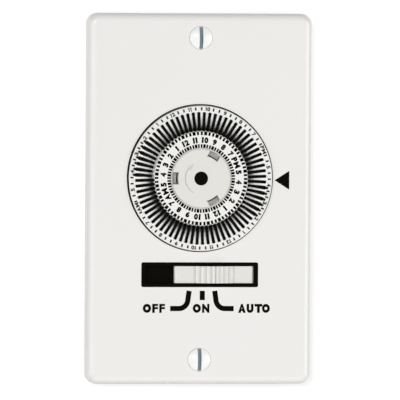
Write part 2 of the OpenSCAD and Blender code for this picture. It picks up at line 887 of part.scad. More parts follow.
module dial_bushing() {
    color("gold") front_view() at(dial_c) difference() {
        union() {
            disc(bushing_r, -bushing_flange_t, strap_t);
            disc(bushing_flange_r, strap_t, strap_t + bushing_flange_t);
        }
        disc(arbor_r + running_fit, -cut, strap_t + cut);
    }
}

function involute(a) = tan(a) * 180 / PI - a;

// Half the angle of a tooth at a radius, from the involute of the base circle
function tooth_half(z, r) =
    90 / z - gear_backlash / 2 / (gear_module * z) * 360 / PI / 2
    + involute(pressure_angle) - involute(acos(min(1, gear_module * z / 2 * cos(pressure_angle) / r)));

function polar(r, a) = r * [cos(a), sin(a)];

// The outline of a spur gear with one tooth centred on the x axis
module gear_outline(z) {
    base_r = gear_module * z / 2 * cos(pressure_angle);
    tip_r = gear_module * (z / 2 + addendum);
    root_r = gear_module * (z / 2 - dedendum);
    foot_r = max(base_r, root_r);
    radii = [for (k = [0 : flank_steps]) foot_r + (tip_r - foot_r) * k / flank_steps];
    back = [for (k = [flank_steps : -1 : 0]) radii[k]];
    root = base_r > root_r ? [root_r] : [];
    polygon([
        for (i = [0 : z - 1]) let(c = 360 * i / z) each concat(
            [for (r = root) polar(r, c - tooth_half(z, foot_r))],
            [for (r = radii) polar(r, c - tooth_half(z, r))],
            [for (r = back) polar(r, c + tooth_half(z, r))],
            [for (r = root) polar(r, c + tooth_half(z, foot_r))])
    ]);
}

module dial_gear() {
    hole_r = 2.6;
    hole_out = gear_boss_r + hole_r + 1.2;
    color("#d8c9a0") front_view() at(dial_c) difference() {
        union() {
            translate([0, 0, gear_front - gear_t]) linear_extrude(gear_t) rotate(idler_direction)
                gear_outline(dial_gear_teeth);
            disc(gear_boss_r, gear_front - gear_t - gear_boss_t, gear_front);
        }
        disc(arbor_r + running_fit, -movement_gap, cut);
        for (i = [0 : 4]) rotate(i * 72) translate([hole_out, 0, 0]) disc(hole_r, -movement_gap, cut);
    }
}

// The idler: a pinion on the dial gear and a wheel on the motor's pinion, moulded in one
module idler_gear() {
    color("#c9d6c0") front_view() at(idler_c) difference() {
        union() {
            translate([0, 0, wheel_front]) linear_extrude(gear_front + move_gap - wheel_front)
                rotate(idler_direction + 180 + 180 / pinion_teeth) gear_outline(pinion_teeth);
            translate([0, 0, wheel_front - gear_t]) linear_extrude(gear_t) rotate(-90)
                gear_outline(wheel_teeth);
        }
        disc(idler_arbor_r + running_fit, -movement_gap, cut);
    }
}

module idler_arbor() {
    collar_r = idler_arbor_r + 0.8;
    color("silver") front_view() at(idler_c) {
        disc(idler_arbor_r, movement_back + seat_gap, strap_t - seat_gap);
        disc(collar_r, movement_front, wheel_front - gear_t - move_gap);
    }
}

module motor_pinion() {
    pinion_front = gear_front - gear_t - 0.5;
    pinion_back = wheel_front - gear_t - 0.8;
    color("#b9a268") front_view() at(motor_pinion_c) {
        translate([0, 0, pinion_back]) linear_extrude(pinion_front - pinion_back)
            rotate(90 + 180 / pinion_teeth) gear_outline(pinion_teeth);
        disc(motor_shaft_r, motor_cap_back + play, pinion_back);
    }
}

module motor_cap() {
    color("#a8abad") front_view() translate([0, 0, motor_cap_back]) linear_extrude(motor_cap_t) difference() {
        union() {
            translate(motor_c) circle(motor_r + motor_cap_rim);
            for (e = motor_ears) bar(motor_c, e, 2 * motor_ear_r);
        }
        translate(motor_pinion_c) circle(motor_shaft_r + running_fit);
        for (e = motor_ears) translate(e) circle(movement_screw_r + play);
    }
}

module motor_case() {
    color("#b5b8ba") front_view() at(motor_c, motor_cap_back) rotate([180, 0, 0]) difference() {
        rotate_extrude() edge_profile(motor_r, motor_depth, motor_edge_r);
        disc(2.5, motor_depth - 0.6, motor_depth + cut);
    }
}

module movement_plate() {
    wall_room = 0.8;
    corner_r = 2;
    border = 1;
    middle = [2 * (housing_inner_r - wall_room), 20];
    middle_drop = 4;
    upper_half = housing_inner_r - 2 * housing_boss_r;
    upper_top = pillars[0].y + pillar_r + border;
    lower_right = switch_right;
    lower_left = pillars[3].x - pillar_r - border / 2;
    lower_bottom = pillars[3].y - pillar_r - border;
    color("#c8b26a") front_view() at([0, 0], movement_back) linear_extrude(movement_plate_t) difference() {
        union() {
            translate(motor_c - [0, middle_drop]) rounded_rect(middle, corner_r);
            translate([0, upper_top / 2]) rounded_rect([2 * upper_half, upper_top], corner_r);
            translate([lower_left + lower_right, lower_bottom] / 2)
                rounded_rect([lower_right - lower_left, -lower_bottom], corner_r);
        }
        translate(dial_c) circle(arbor_pivot_r + running_fit);
        translate(idler_c) circle(idler_arbor_r + seat_gap);
        translate(motor_pinion_c) circle(motor_shaft_r + 1);
        for (p = concat(pillars, motor_ears, switch_screws)) translate(p) circle(movement_screw_r + seat_gap);
    }
}

module pillars() {
    color("silver") front_view() for (p = pillars) at(p) difference() {
        union() {
            disc(pillar_r, movement_front, 0);
            disc(pillar_spigot_r, 0, strap_t);
        }
        disc(movement_screw_r + seat_gap, movement_front - cut, movement_front + movement_screw_len);
    }
}

module movement_screw(seat) {
    difference() {
        union() {
            disc(movement_screw_head_r, seat - movement_screw_head_h, seat);
            disc(movement_screw_r, seat, seat + movement_screw_len);
        }
        translate([0, 0, seat - movement_screw_head_h])
            cube([0.6, 2 * movement_screw_head_r + cut, 1.2], center = true);
    }
}

module movement_screws() {
    color("gainsboro") front_view() {
        for (p = concat(pillars, switch_screws)) at(p) movement_screw(movement_back);
        for (e = motor_ears) at(e) movement_screw(motor_cap_back);
    }
}

module switch_lever() {
    color("#3a3a3c") front_view() {
        translate([0, 0, lever_back]) linear_extrude(lever_t) difference() {
            union() {
                bar(nose_c, elbow_c, 2 * nose_r);
                bar(elbow_c, pivot_c, lever_arm_w);
                bar(pivot_c, tail_c, lever_arm_w);
                translate(pivot_c) circle(pivot_head_r);
            }
            translate(pivot_c) circle(pivot_r + running_fit);
        }
        at(tail_c) disc(lever_pin_r, lever_pin_back, lever_back);
    }
}

// A shouldered stud staked into the strap
module lever_pivot() {
    lever_front = lever_back + lever_t;
    color("silver") front_view() at(pivot_c) {
        disc(pivot_shank_r, 0, strap_t);
        disc(pivot_head_r, strap_t, lever_back - play);
        disc(pivot_r, lever_back - play, lever_front + play);
        disc(pivot_head_r, lever_front + play, plate_inner - play);
    }
}

// The switch plunger's axis, along x
module plunger_rod(r, x0, x1) {
    translate([x0, tail_c.y, switch_back + switch_t / 2]) rotate([0, 90, 0]) cylinder(r = r, h = x1 - x0);
}

module switch_case() {
    color("#2b2724") front_view() difference() {
        at(switch_c, switch_back) linear_extrude(switch_t) rounded_rect([switch_w, switch_h], 0.8);
        plunger_rod(plunger_r + running_fit, plunger_end - plunger_len - cut, switch_right + cut);
        for (p = switch_screws)
            at(p) disc(movement_screw_r + seat_gap, switch_back - cut, movement_back + movement_screw_len);
    }
}

module switch_plunger() {
    color("crimson") front_view() plunger_rod(plunger_r, plunger_end - plunger_len, plunger_end);
}

module switch_terminals() {
    color("peru") front_view() for (i = [-1 : 1]) {
        translate([switch_right - switch_w - blade.x, switch_c.y + i * blade_pitch - blade.y / 2,
            switch_back + (switch_t - blade.z) / 2]) cube(blade);
    }
}

// A tripper's side view: the foot behind the dial, the stem in the slot, the fin, the saddle and the tab
module tripper_side() {
    polygon([
        [foot_in, lever_back],
        [foot_out - foot_bevel, lever_back],
        [foot_out, lever_back + foot_bevel],
        [foot_out, foot_face],
        [stem_out, foot_face],
        [stem_out, tab_bottom],
        [tab_out, tab_bottom],
        [tab_out, tab_top],
        [tab_in, tab_top],
        [tab_in, saddle_top],
        [saddle_in, saddle_top],
        [ridge_r, fin_top],
        [stem_in + fin_bevel, fin_top],
        [stem_in, fin_top - fin_bevel],
        [stem_in, foot_face],
        [foot_in, foot_face]
    ]);
}

module tripper_group(g) {
    color("#141210") front_view() at(dial_c) for (third = g[2])
        rotate(hour_angle(g[1]) + (third + 0.5) * tripper_pitch)
            translate([g[3] ? tripper_travel : 0, 0, 0])
                rotate([90, 0, 0]) linear_extrude(tripper_w, center = true) tripper_side();
}

wall_plate();
plate_screws();
mounting_strap();
housing_screws();
rear_housing();
terminal_plates();
terminal_screws();
slide_guide();
detent_spring();
selector_contacts();
slide_carriage();
slider_knob();
bridge_contact();
dial_wheel();
dial_hub();
dial_arbor();
clutch_spring();
arbor_clip();
dial_bushing();
dial_gear();
idler_gear();
idler_arbor();
motor_pinion();
motor_cap();
motor_case();
movement_plate();
pillars();
movement_screws();
switch_lever();
lever_pivot();
switch_case();
switch_plunger();
switch_terminals();
for (g = tripper_groups) tripper_group(g);
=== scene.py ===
import json
from math import cos, radians, sin

import bmesh
import bpy
from mathutils import Matrix, Vector


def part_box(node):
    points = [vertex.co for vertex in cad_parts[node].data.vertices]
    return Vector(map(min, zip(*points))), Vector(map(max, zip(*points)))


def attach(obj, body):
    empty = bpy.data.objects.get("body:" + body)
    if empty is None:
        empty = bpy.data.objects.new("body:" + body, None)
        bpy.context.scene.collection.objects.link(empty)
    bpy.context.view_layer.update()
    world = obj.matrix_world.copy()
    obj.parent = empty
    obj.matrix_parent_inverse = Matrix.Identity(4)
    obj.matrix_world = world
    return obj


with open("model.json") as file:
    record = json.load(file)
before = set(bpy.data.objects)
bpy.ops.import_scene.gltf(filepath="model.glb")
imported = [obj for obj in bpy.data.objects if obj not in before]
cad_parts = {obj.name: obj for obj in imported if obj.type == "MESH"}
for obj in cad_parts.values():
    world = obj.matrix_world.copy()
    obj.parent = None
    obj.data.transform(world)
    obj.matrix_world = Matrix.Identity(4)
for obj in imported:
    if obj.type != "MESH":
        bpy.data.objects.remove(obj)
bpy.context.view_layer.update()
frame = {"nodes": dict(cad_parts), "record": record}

# One millimetre, in the scene's metres
MM = 0.001
# Printing is drawn in millimetres as seen from the front, then stood up against the wall
STAND_UP = Matrix.Rotation(radians(90), 4, "X") @ Matrix.Scale(MM, 4)

# The dial's and the knob's boxes, in millimetres
dial_low, dial_high = (Vector(corner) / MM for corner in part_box("dial_wheel"))
knob_low, knob_high = (Vector(corner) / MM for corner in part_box("slider_knob"))

# Heights of the printed faces over the wall, in millimetres: the dial's rim lies lower than its number ring
PLATE_FACE = -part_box("wall_plate")[0][1] / MM
NUMBER_FACE = -dial_low.y
RIM_DROP = 0.85
RIM_FACE = NUMBER_FACE - RIM_DROP
# The ink stands a little proud and its underside is sunk a little, so no air shows under it
INK_PROUD = 0.03
INK_SUNK = 0.02
INK_THICK = INK_PROUD + INK_SUNK

# The dial's centre as seen from the front, and its radius
DIAL_CENTRE = Vector((dial_low.x + dial_high.x, dial_low.z + dial_high.z, 0)) / 2
DIAL_R = (dial_high.x - dial_low.x) / 2
# The time at the pointer, in hours, and the turns of the dial from one hour, tick or tripper to the next
CLOCK_TIME = 16.3667
HOURS = 24
TICKS_PER_HOUR = 3
HOUR_TURN = 360 / HOURS
TICK_TURN = HOUR_TURN / TICKS_PER_HOUR
# The hours between which the trippers are pulled out at rest
MORNING_OUT = (2, 4 + 1 / 3)
AFTERNOON_OUT = (14, 16)


def hour_turn(hour):
    """Turn of an hour's mark from the pointer's side, anticlockwise."""
    return HOUR_TURN * (hour - CLOCK_TIME)


# The slide's window in the plate: middle height, width, and height with the knob's clearance
KNOB_CLEAR = 0.2
WINDOW_UP = (knob_low.z + knob_high.z) / 2
WINDOW_W = 34.0
WINDOW_H = knob_high.z - knob_low.z + 2 * KNOB_CLEAR


# Finishes

# Scratches, grain, brushing and printing mesh are drawn at 0.2 to 0.5 mm, coarser than they are,
# so that they show


def linear(hex_colour):
    """Turns an sRGB hex colour to the linear values that a shader reads."""
    values = []
    for start in (1, 3, 5):
        part = int(hex_colour[start:start + 2], 16) / 255
        values.append(part / 12.92 if part <= 0.04045 else ((part + 0.055) / 1.055) ** 2.4)
    return (*values, 1.0)


def add(tree, kind, sockets=None, **settings):
    """Adds one shader node, sets it, and fills its sockets: a node stands for its first output in use."""
    made = tree.nodes.new("ShaderNode" + kind)
    for name, value in settings.items():
        setattr(made, name, value)
    for socket, value in (sockets or {}).items():
        if isinstance(value, bpy.types.Node):
            value = next(output for output in value.outputs if output.enabled)
        if isinstance(value, bpy.types.NodeSocket):
            tree.links.new(value, made.inputs[socket])
        else:
            made.inputs[socket].default_value = value
    return made


def start_finish(name):
    """Starts an empty material and gives it with its nodes and the piece's own coordinates."""
    finish = bpy.data.materials.new(name)
    finish.use_nodes = True
    tree = finish.node_tree
    tree.nodes.clear()
    return finish, tree, add(tree, "TexCoord").outputs["Object"]


def round_dial(tree, place):
    """The piece's coordinates seen from the front and centred on the dial, and the radius there."""
    flat = add(tree, "Mapping", {
        "Vector": place, "Location": (0.0, 0.0, -DIAL_CENTRE.y * MM), "Scale": (1.0, 0.0, 1.0)})
    return flat, add(tree, "VectorMath", {0: flat}, operation="LENGTH")


def between(tree, value, low, high):
    """One where a value lies between two limits, nought elsewhere."""
    over = add(tree, "Math", {0: value, 1: low}, operation="GREATER_THAN")
    under = add(tree, "Math", {0: value, 1: high}, operation="LESS_THAN")
    return add(tree, "Math", {0: over, 1: under}, operation="MULTIPLY")


def moulded_urea_plate():
    # Urea resin pressed in a polished tool: a hard soft gloss, faintly wavy, evenly white
    finish, tree, place = start_finish("urea_resin_polished_moulding")
    cloud = add(tree, "TexNoise", {"Vector": place, "Scale": 1 / (22 * MM), "Detail": 2.0})
    peel = add(tree, "TexNoise", {"Vector": place, "Scale": 1 / (0.9 * MM), "Detail": 3.0})
    tone = add(tree, "Mix", {0: cloud, 6: linear("#EEECEA"), 7: linear("#ECEAE7")}, data_type="RGBA")
    gloss = add(tree, "MapRange", {"Value": peel, "To Min": 0.26, "To Max": 0.34})
    wave = add(tree, "Bump", {"Height": peel, "Distance": 0.004 * MM, "Strength": 0.5})
    shader = add(tree, "BsdfPrincipled", {
        "Base Color": tone, "Roughness": gloss, "Normal": wave, "IOR": 1.55, "Specular IOR Level": 0.5})
    add(tree, "OutputMaterial", {"Surface": shader})
    return finish


def enamelled_screw():
    # Stoved white enamel on the head, plain steel in the driver slot and down the shank
    finish, tree, place = start_finish("stoved_enamel_over_steel")
    slot_half = 0.57 * MM
    head_from = -4.4 * MM
    parts = add(tree, "SeparateXYZ", {"Vector": place})
    side = add(tree, "Math", {0: parts.outputs["X"]}, operation="ABSOLUTE")
    beside = add(tree, "Math", {0: side, 1: slot_half}, operation="GREATER_THAN")
    headed = add(tree, "Math", {0: parts.outputs["Y"], 1: head_from}, operation="LESS_THAN")
    coated = add(tree, "Math", {0: beside, 1: headed}, operation="MULTIPLY")
    bare = add(tree, "Math", {0: 1.0, 1: coated}, operation="SUBTRACT")
    scratch = add(tree, "TexNoise", {"Vector": place, "Scale": 1 / (0.25 * MM), "Detail": 4.0})
    steel = add(tree, "Mix", {0: scratch, 6: linear("#6C797D"), 7: linear("#82909A")}, data_type="RGBA")
    tone = add(tree, "Mix", {0: coated, 6: steel, 7: linear("#F6F6F4")}, data_type="RGBA")
    gloss = add(tree, "MapRange", {"Value": scratch, "To Min": 0.22, "To Max": 0.36})
    runs = add(tree, "Bump", {"Height": scratch, "Distance": 0.004 * MM, "Strength": 0.4})
    shader = add(tree, "BsdfPrincipled", {
        "Base Color": tone, "Metallic": bare, "Roughness": gloss, "Normal": runs})
    add(tree, "OutputMaterial", {"Surface": shader})
    return finish


def zinc_plated_strap():
    # Zinc plated sheet: rolling lines along its length under a bluish, slightly clouded plating
    finish, tree, place = start_finish("zinc_plated_rolled_steel")
    rolled = add(tree, "Mapping", {"Vector": place, "Scale": (1.0, 1.0, 0.04)})
    lines = add(tree, "TexNoise", {"Vector": rolled, "Scale": 1 / (0.3 * MM), "Detail": 3.0})
    cloud = add(tree, "TexNoise", {"Vector": place, "Scale": 1 / (7 * MM), "Detail": 3.0})
    tone = add(tree, "Mix", {0: cloud, 6: linear("#B4BAC2"), 7: linear("#CDD0D2")}, data_type="RGBA")
    gloss = add(tree, "MapRange", {"Value": lines, "To Min": 0.26, "To Max": 0.46})
    grain = add(tree, "Bump", {"Height": lines, "Distance": 0.006 * MM, "Strength": 0.5})
    shader = add(tree, "BsdfPrincipled", {
        "Base Color": tone, "Metallic": 1.0, "Roughness": gloss, "Normal": grain})
    add(tree, "OutputMaterial", {"Surface": shader})
    return finish


def zinc_plated_fastener():
    # Bright zinc on small turned steel: fine scratches, a little duller than the strap
    finish, tree, place = start_finish("bright_zinc_on_turned_steel")
    scratch = add(tree, "TexNoise", {"Vector": place, "Scale": 1 / (0.35 * MM), "Detail": 4.0})
    tone = add(tree, "Mix", {0: scratch, 6: linear("#A9ADB2"), 7: linear("#C6C8CA")}, data_type="RGBA")
    gloss = add(tree, "MapRange", {"Value": scratch, "To Min": 0.24, "To Max": 0.4})
    turned = add(tree, "Bump", {"Height": scratch, "Distance": 0.006 * MM, "Strength": 0.5})
    shader = add(tree, "BsdfPrincipled", {
        "Base Color": tone, "Metallic": 1.0, "Roughness": gloss, "Normal": turned})
    add(tree, "OutputMaterial", {"Surface": shader})
    return finish


def eroded_housing_resin():
    # Dark polyamide from a spark-eroded tool: a dry even grain, a little paler where it is rubbed
    finish, tree, place = start_finish("polyamide_spark_eroded_moulding")
    grain = add(tree, "TexNoise", {"Vector": place, "Scale": 1 / (0.45 * MM), "Detail": 4.0})
    rub = add(tree, "TexNoise", {"Vector": place, "Scale": 1 / (9 * MM), "Detail": 5.0})
    tone = add(tree, "Mix", {0: rub, 6: linear("#29292B"), 7: linear("#38383A")}, data_type="RGBA")
    gloss = add(tree, "MapRange", {"Value": rub, "To Min": 0.5, "To Max": 0.66})
    pits = add(tree, "Bump", {"Height": grain, "Distance": 0.03 * MM, "Strength": 0.6})
    shader = add(tree, "BsdfPrincipled", {
        "Base Color": tone, "Roughness": gloss, "Normal": pits, "IOR": 1.53, "Specular IOR Level": 0.35})
    add(tree, "OutputMaterial", {"Surface": shader})
    return finish


def rolled_terminal_brass():
    # Half-hard brass: warm yellow, dulled in cloudy patches, with fine handling scratches
    finish, tree, place = start_finish("rolled_brass_dulled")
    dull = add(tree, "TexNoise", {"Vector": place, "Scale": 1 / (2.6 * MM), "Detail": 4.0})
    scratch = add(tree, "TexNoise", {"Vector": place, "Scale": 1 / (0.3 * MM), "Detail": 3.0})
    tone = add(tree, "Mix", {0: dull, 6: linear("#B2914A"), 7: linear("#D3B36A")}, data_type="RGBA")
    gloss = add(tree, "MapRange", {"Value": dull, "To Min": 0.42, "To Max": 0.24})
    marks = add(tree, "Bump", {"Height": scratch, "Distance": 0.006 * MM, "Strength": 0.5})
    shader = add(tree, "BsdfPrincipled", {
        "Base Color": tone, "Metallic": 1.0, "Roughness": gloss, "Normal": marks})
    add(tree, "OutputMaterial", {"Surface": shader})
    return finish


def black_slide_acetal():
    # Black acetal: waxy, deep, with a fine matt grain from the tool
    finish, tree, place = start_finish("black_acetal_matt_moulding")
    grain = add(tree, "TexNoise", {"Vector": place, "Scale": 1 / (0.35 * MM), "Detail": 3.0})
    tone = add(tree, "Mix", {0: grain, 6: linear("#070603"), 7: linear("#0B0A06")}, data_type="RGBA")
    gloss = add(tree, "MapRange", {"Value": grain, "To Min": 0.5, "To Max": 0.62})
    pits = add(tree, "Bump", {"Height": grain, "Distance": 0.01 * MM, "Strength": 0.5})
    shader = add(tree, "BsdfPrincipled", {
        "Base Color": tone, "Roughness": gloss, "Normal": pits, "IOR": 1.48, "Specular IOR Level": 0.03})
    add(tree, "OutputMaterial", {"Surface": shader})
    return finish


def tripper_acetal():
    # Small black acetal fins: a slight shine on their tops, rubbed a little greyer by fingernails
    finish, tree, place = start_finish("black_acetal_rubbed_moulding")
    rub = add(tree, "TexNoise", {"Vector": place, "Scale": 1 / (0.8 * MM), "Detail": 4.0})
    tone = add(tree, "Mix", {0: rub, 6: linear("#050504"), 7: linear("#0C0B09")}, data_type="RGBA")
    gloss = add(tree, "MapRange", {"Value": rub, "To Min": 0.34, "To Max": 0.5})
    marks = add(tree, "Bump", {"Height": rub, "Distance": 0.008 * MM, "Strength": 0.5})
    shader = add(tree, "BsdfPrincipled", {
        "Base Color": tone, "Roughness": gloss, "Normal": marks, "IOR": 1.48, "Specular IOR Level": 0.03})
    add(tree, "OutputMaterial", {"Surface": shader})
    return finish


def pulled_out(tree, turn):
    """One round the slots whose trippers are pulled out at rest, nought elsewhere."""
    # A turn is read from -180 to 180 degrees, so the morning's hours are taken a full turn on
    morning = between(tree, turn, *(radians(hour_turn(hour) + 360) for hour in MORNING_OUT))
    afternoon = between(tree, turn, *(radians(hour_turn(hour)) for hour in AFTERNOON_OUT))
    return add(tree, "Math", {0: morning, 1: afternoon}, operation="MAXIMUM")


def rubbed_marks(tree, turn, radius, pulled):
    """One beside the slots, where painted shade makes the fins look wider, nought elsewhere, and wider where
    the trippers are pulled out.
    """
    inner_r, full_r, outer_r = 14.5 * MM, 15.6 * MM, 20.2 * MM
    pulled_inner_r, pulled_full_r, pulled_outer_r = 15.7 * MM, 19.0 * MM, 20.5 * MM
    narrow, wide, pulled_wide = 0.36 * MM, 0.48 * MM, 0.58 * MM
    past = add(tree, "Math", {0: turn, 1: radians(hour_turn(0) + TICK_TURN / 2)}, operation="SUBTRACT")
    swing = add(tree, "Math", {0: past, 1: radians(TICK_TURN / 2)}, operation="PINGPONG")
    away = add(tree, "Math", {0: swing, 1: radius}, operation="MULTIPLY")
    pushed_reach = add(tree, "MapRange", {
        "Value": radius, "From Min": inner_r, "From Max": full_r, "To Min": narrow, "To Max": wide})
    pulled_reach = add(tree, "MapRange", {
        "Value": radius, "From Min": pulled_inner_r, "From Max": pulled_full_r,
        "To Min": narrow, "To Max": pulled_wide})
    reach = add(tree, "Mix", {0: pulled, 2: pushed_reach, 3: pulled_reach}, data_type="FLOAT")
    beside = add(tree, "Math", {0: away, 1: reach}, operation="LESS_THAN")
    start_r = add(tree, "Mix", {0: pulled, 2: inner_r, 3: pulled_inner_r}, data_type="FLOAT")
    end_r = add(tree, "Mix", {0: pulled, 2: outer_r, 3: pulled_outer_r}, data_type="FLOAT")
    return add(tree, "Math", {0: beside, 1: between(tree, radius, start_r, end_r)}, operation="MULTIPLY")


def satin_dial_styrene():
    # White styrene with a satin tool finish and a soft sheen. Painted shade: grey in the low parts and in the
    # hub's windows, black down the dial's edge and beside the slots. Where the trippers are pulled out the
    # slope has no painted grey, and the slope between the fins is painted lighter
    finish, tree, place = start_finish("white_styrene_satin_moulding")
    hub_r, edge_shade_skin = 9.05 * MM, 0.02 * MM
    slope_in_r, slope_out_r = 14.7 * MM, 20.75 * MM
    slope_shade_depths = {"From Min": -6.05 * MM, "From Max": -5.5 * MM}
    window_shade_depths = {"From Min": -6.53 * MM, "From Max": -5.75 * MM}
    depth = add(tree, "SeparateXYZ", {"Vector": place}).outputs["Y"]
    flat, radius = round_dial(tree, place)
    across = add(tree, "SeparateXYZ", {"Vector": flat})
    turn = add(tree, "Math", {0: across.outputs["Z"], 1: across.outputs["X"]}, operation="ARCTAN2")
    pulled = pulled_out(tree, turn)
    # Painted shade: grey where the dial lies low, left off where the trippers are pulled out
    low = add(tree, "MapRange", {"Value": depth, **slope_shade_depths})
    slope_shade = add(tree, "Mix", {0: pulled, 2: low, 3: 0.0}, data_type="FLOAT")
    # Painted shade on the hooks seen in the hub's windows
    window_shade = add(tree, "MapRange", {"Value": depth, **window_shade_depths})
    inside = add(tree, "Math", {0: radius, 1: hub_r}, operation="LESS_THAN")
    recess_shade = add(tree, "Mix", {0: inside, 2: slope_shade, 3: window_shade}, data_type="FLOAT")
    # Painted shade: black down the dial's edge, for the dark gap round the dial
    edge = add(tree, "Math", {0: radius, 1: DIAL_R * MM - edge_shade_skin}, operation="GREATER_THAN")
    # Painted shade beside the slots, which makes the black fins look wider
    rubbed = rubbed_marks(tree, turn, radius, pulled)
    # Black painted shade: the dial's edge and beside the slots
    black = add(tree, "Math", {0: edge, 1: rubbed}, operation="MAXIMUM")
    shade_share = add(tree, "Math", {0: recess_shade, 1: black}, operation="MAXIMUM")
    shade_tone = add(tree, "Mix", {0: black, 6: linear("#8F8D88"), 7: linear("#1B1A17")}, data_type="RGBA")
    grain = add(tree, "TexNoise", {"Vector": place, "Scale": 1 / (0.3 * MM), "Detail": 3.0})
    cloud = add(tree, "TexNoise", {"Vector": place, "Scale": 1 / (8 * MM), "Detail": 2.0})
    white = add(tree, "Mix", {0: cloud, 6: linear("#F0EFEC"), 7: linear("#EDECE8")}, data_type="RGBA")
    # Painted light: the slope between the fins is painted a brighter white
    lit_slope = between(tree, radius, slope_in_r, slope_out_r)
    unshaded_white = add(tree, "Mix", {0: lit_slope, 6: white, 7: linear("#FAF9F7")}, data_type="RGBA")
    tone = add(tree, "Mix", {0: shade_share, 6: unshaded_white, 7: shade_tone}, data_type="RGBA")
    gloss = add(tree, "MapRange", {"Value": grain, "To Min": 0.42, "To Max": 0.54})
    satin = add(tree, "Bump", {"Height": grain, "Distance": 0.006 * MM, "Strength": 0.4})
    shader = add(tree, "BsdfPrincipled", {
        "Base Color": tone, "Roughness": gloss, "Normal": satin, "IOR": 1.57, "Specular IOR Level": 0.3})
    add(tree, "OutputMaterial", {"Surface": shader})
    return finish


def satin_hub_acetal():
    # Natural white acetal: a warmer, greyer white than the dial, with faint turning lines of the tool, and
    # painted shade in the sunk arrow
    finish, tree, place = start_finish("white_acetal_satin_moulding")
    arrow_in_r, arrow_out_r = 3.5 * MM, 6.4 * MM
    middle = add(tree, "Mapping", {
        "Vector": place, "Location": (0.0, 0.0, -DIAL_CENTRE.y * MM), "Rotation": (radians(90), 0.0, 0.0)})
    turning = add(tree, "TexWave", {
        "Vector": middle, "Scale": 1 / (6 * MM), "Distortion": 0.4, "Detail": 2.0},
        wave_type="RINGS", rings_direction="Z").outputs["Fac"]
    cloud = add(tree, "TexNoise", {"Vector": place, "Scale": 1 / (5 * MM), "Detail": 2.0})
    white = add(tree, "Mix", {0: cloud, 6: linear("#E4E3DD"), 7: linear("#E1E0DA")}, data_type="RGBA")
    radius = round_dial(tree, place)[1]
    depth = add(tree, "SeparateXYZ", {"Vector": place}).outputs["Y"]
    # Painted shade: darker in the sunk arrow
    sunk = add(tree, "Math", {0: depth, 1: -NUMBER_FACE * MM}, operation="GREATER_THAN")
    ringed = between(tree, radius, arrow_in_r, arrow_out_r)
    arrow_shade = add(tree, "Math", {0: ringed, 1: sunk}, operation="MULTIPLY")
    tone = add(tree, "Mix", {0: arrow_shade, 6: white, 7: linear("#D8D6D0")}, data_type="RGBA")
    gloss = add(tree, "MapRange", {"Value": turning, "To Min": 0.4, "To Max": 0.48})
    lines = add(tree, "Bump", {"Height": turning, "Distance": 0.004 * MM, "Strength": 0.3})
    shader = add(tree, "BsdfPrincipled", {
        "Base Color": tone, "Roughness": gloss, "Normal": lines, "IOR": 1.48, "Specular IOR Level": 0.3})
    add(tree, "OutputMaterial", {"Surface": shader})
    return finish


def satin_knob_acetal():
    # White acetal worn by fingers, satin on the treads; a painted highlight on the slanted risers,
    # and painted shade at the foot of each riser and in the middle groove
    finish, tree, place = start_finish("white_acetal_worn_with_painted_light")
    knob_x = (knob_low.x + knob_high.x) / 2 * MM
    tread, first_foot, foot_shade_reach = 1.6 * MM, 0.96 * MM, 0.9 * MM
    foot_shade_end, groove_half = 6.7 * MM, 0.2 * MM
    worn = add(tree, "TexNoise", {"Vector": place, "Scale": 1 / (3.5 * MM), "Detail": 4.0})
    grain = add(tree, "TexNoise", {"Vector": place, "Scale": 1 / (0.3 * MM), "Detail": 3.0})
    # Painted highlight: faces that lean sideways, the risers, are painted paler
    facing = add(tree, "SeparateXYZ", {"Vector": add(tree, "TexCoord").outputs["Normal"]})
    lean = add(tree, "Math", {0: facing.outputs["X"]}, operation="ABSOLUTE")
    riser_highlight = add(tree, "MapRange", {"Value": lean, "From Min": 0.3, "From Max": 0.7})
    parts = add(tree, "SeparateXYZ", {"Vector": place})
    along = add(tree, "Math", {0: parts.outputs["X"], 1: knob_x}, operation="SUBTRACT")
    out = add(tree, "Math", {0: along}, operation="ABSOLUTE")
    # Painted shade: grey fading out from the foot of each riser, and in the middle groove
    past = add(tree, "Math", {0: out, 1: first_foot}, operation="SUBTRACT")
    from_foot = add(tree, "Math", {0: past, 1: tread}, operation="FLOORED_MODULO")
    foot_shade = add(tree, "MapRange", {"Value": from_foot, "From Max": foot_shade_reach, "To Min": 1.0, "To Max": 0.0})
    stairs = between(tree, out, first_foot, foot_shade_end)
    stair_shade = add(tree, "Math", {0: foot_shade, 1: stairs}, operation="MULTIPLY")
    groove_shade = add(tree, "Math", {0: out, 1: groove_half}, operation="LESS_THAN")
    painted_shade = add(tree, "Math", {0: stair_shade, 1: groove_shade}, operation="MAXIMUM")
    unshaded_white = add(tree, "Mix", {0: worn, 6: linear("#E4E2DC"), 7: linear("#E1E0DA")}, data_type="RGBA")
    shaded_white = add(tree, "Mix", {0: painted_shade, 6: unshaded_white, 7: linear("#CBC9C3")}, data_type="RGBA")
    tone = add(tree, "Mix", {0: riser_highlight, 6: shaded_white, 7: linear("#FAF9F6")}, data_type="RGBA")
    gloss = add(tree, "MapRange", {"Value": worn, "To Min": 0.34, "To Max": 0.5})
    satin = add(tree, "Bump", {"Height": grain, "Distance": 0.006 * MM, "Strength": 0.4})
    shader = add(tree, "BsdfPrincipled", {
        "Base Color": tone, "Roughness": gloss, "Normal": satin, "IOR": 1.48, "Specular IOR Level": 0.35})
    add(tree, "OutputMaterial", {"Surface": shader})
    return finish


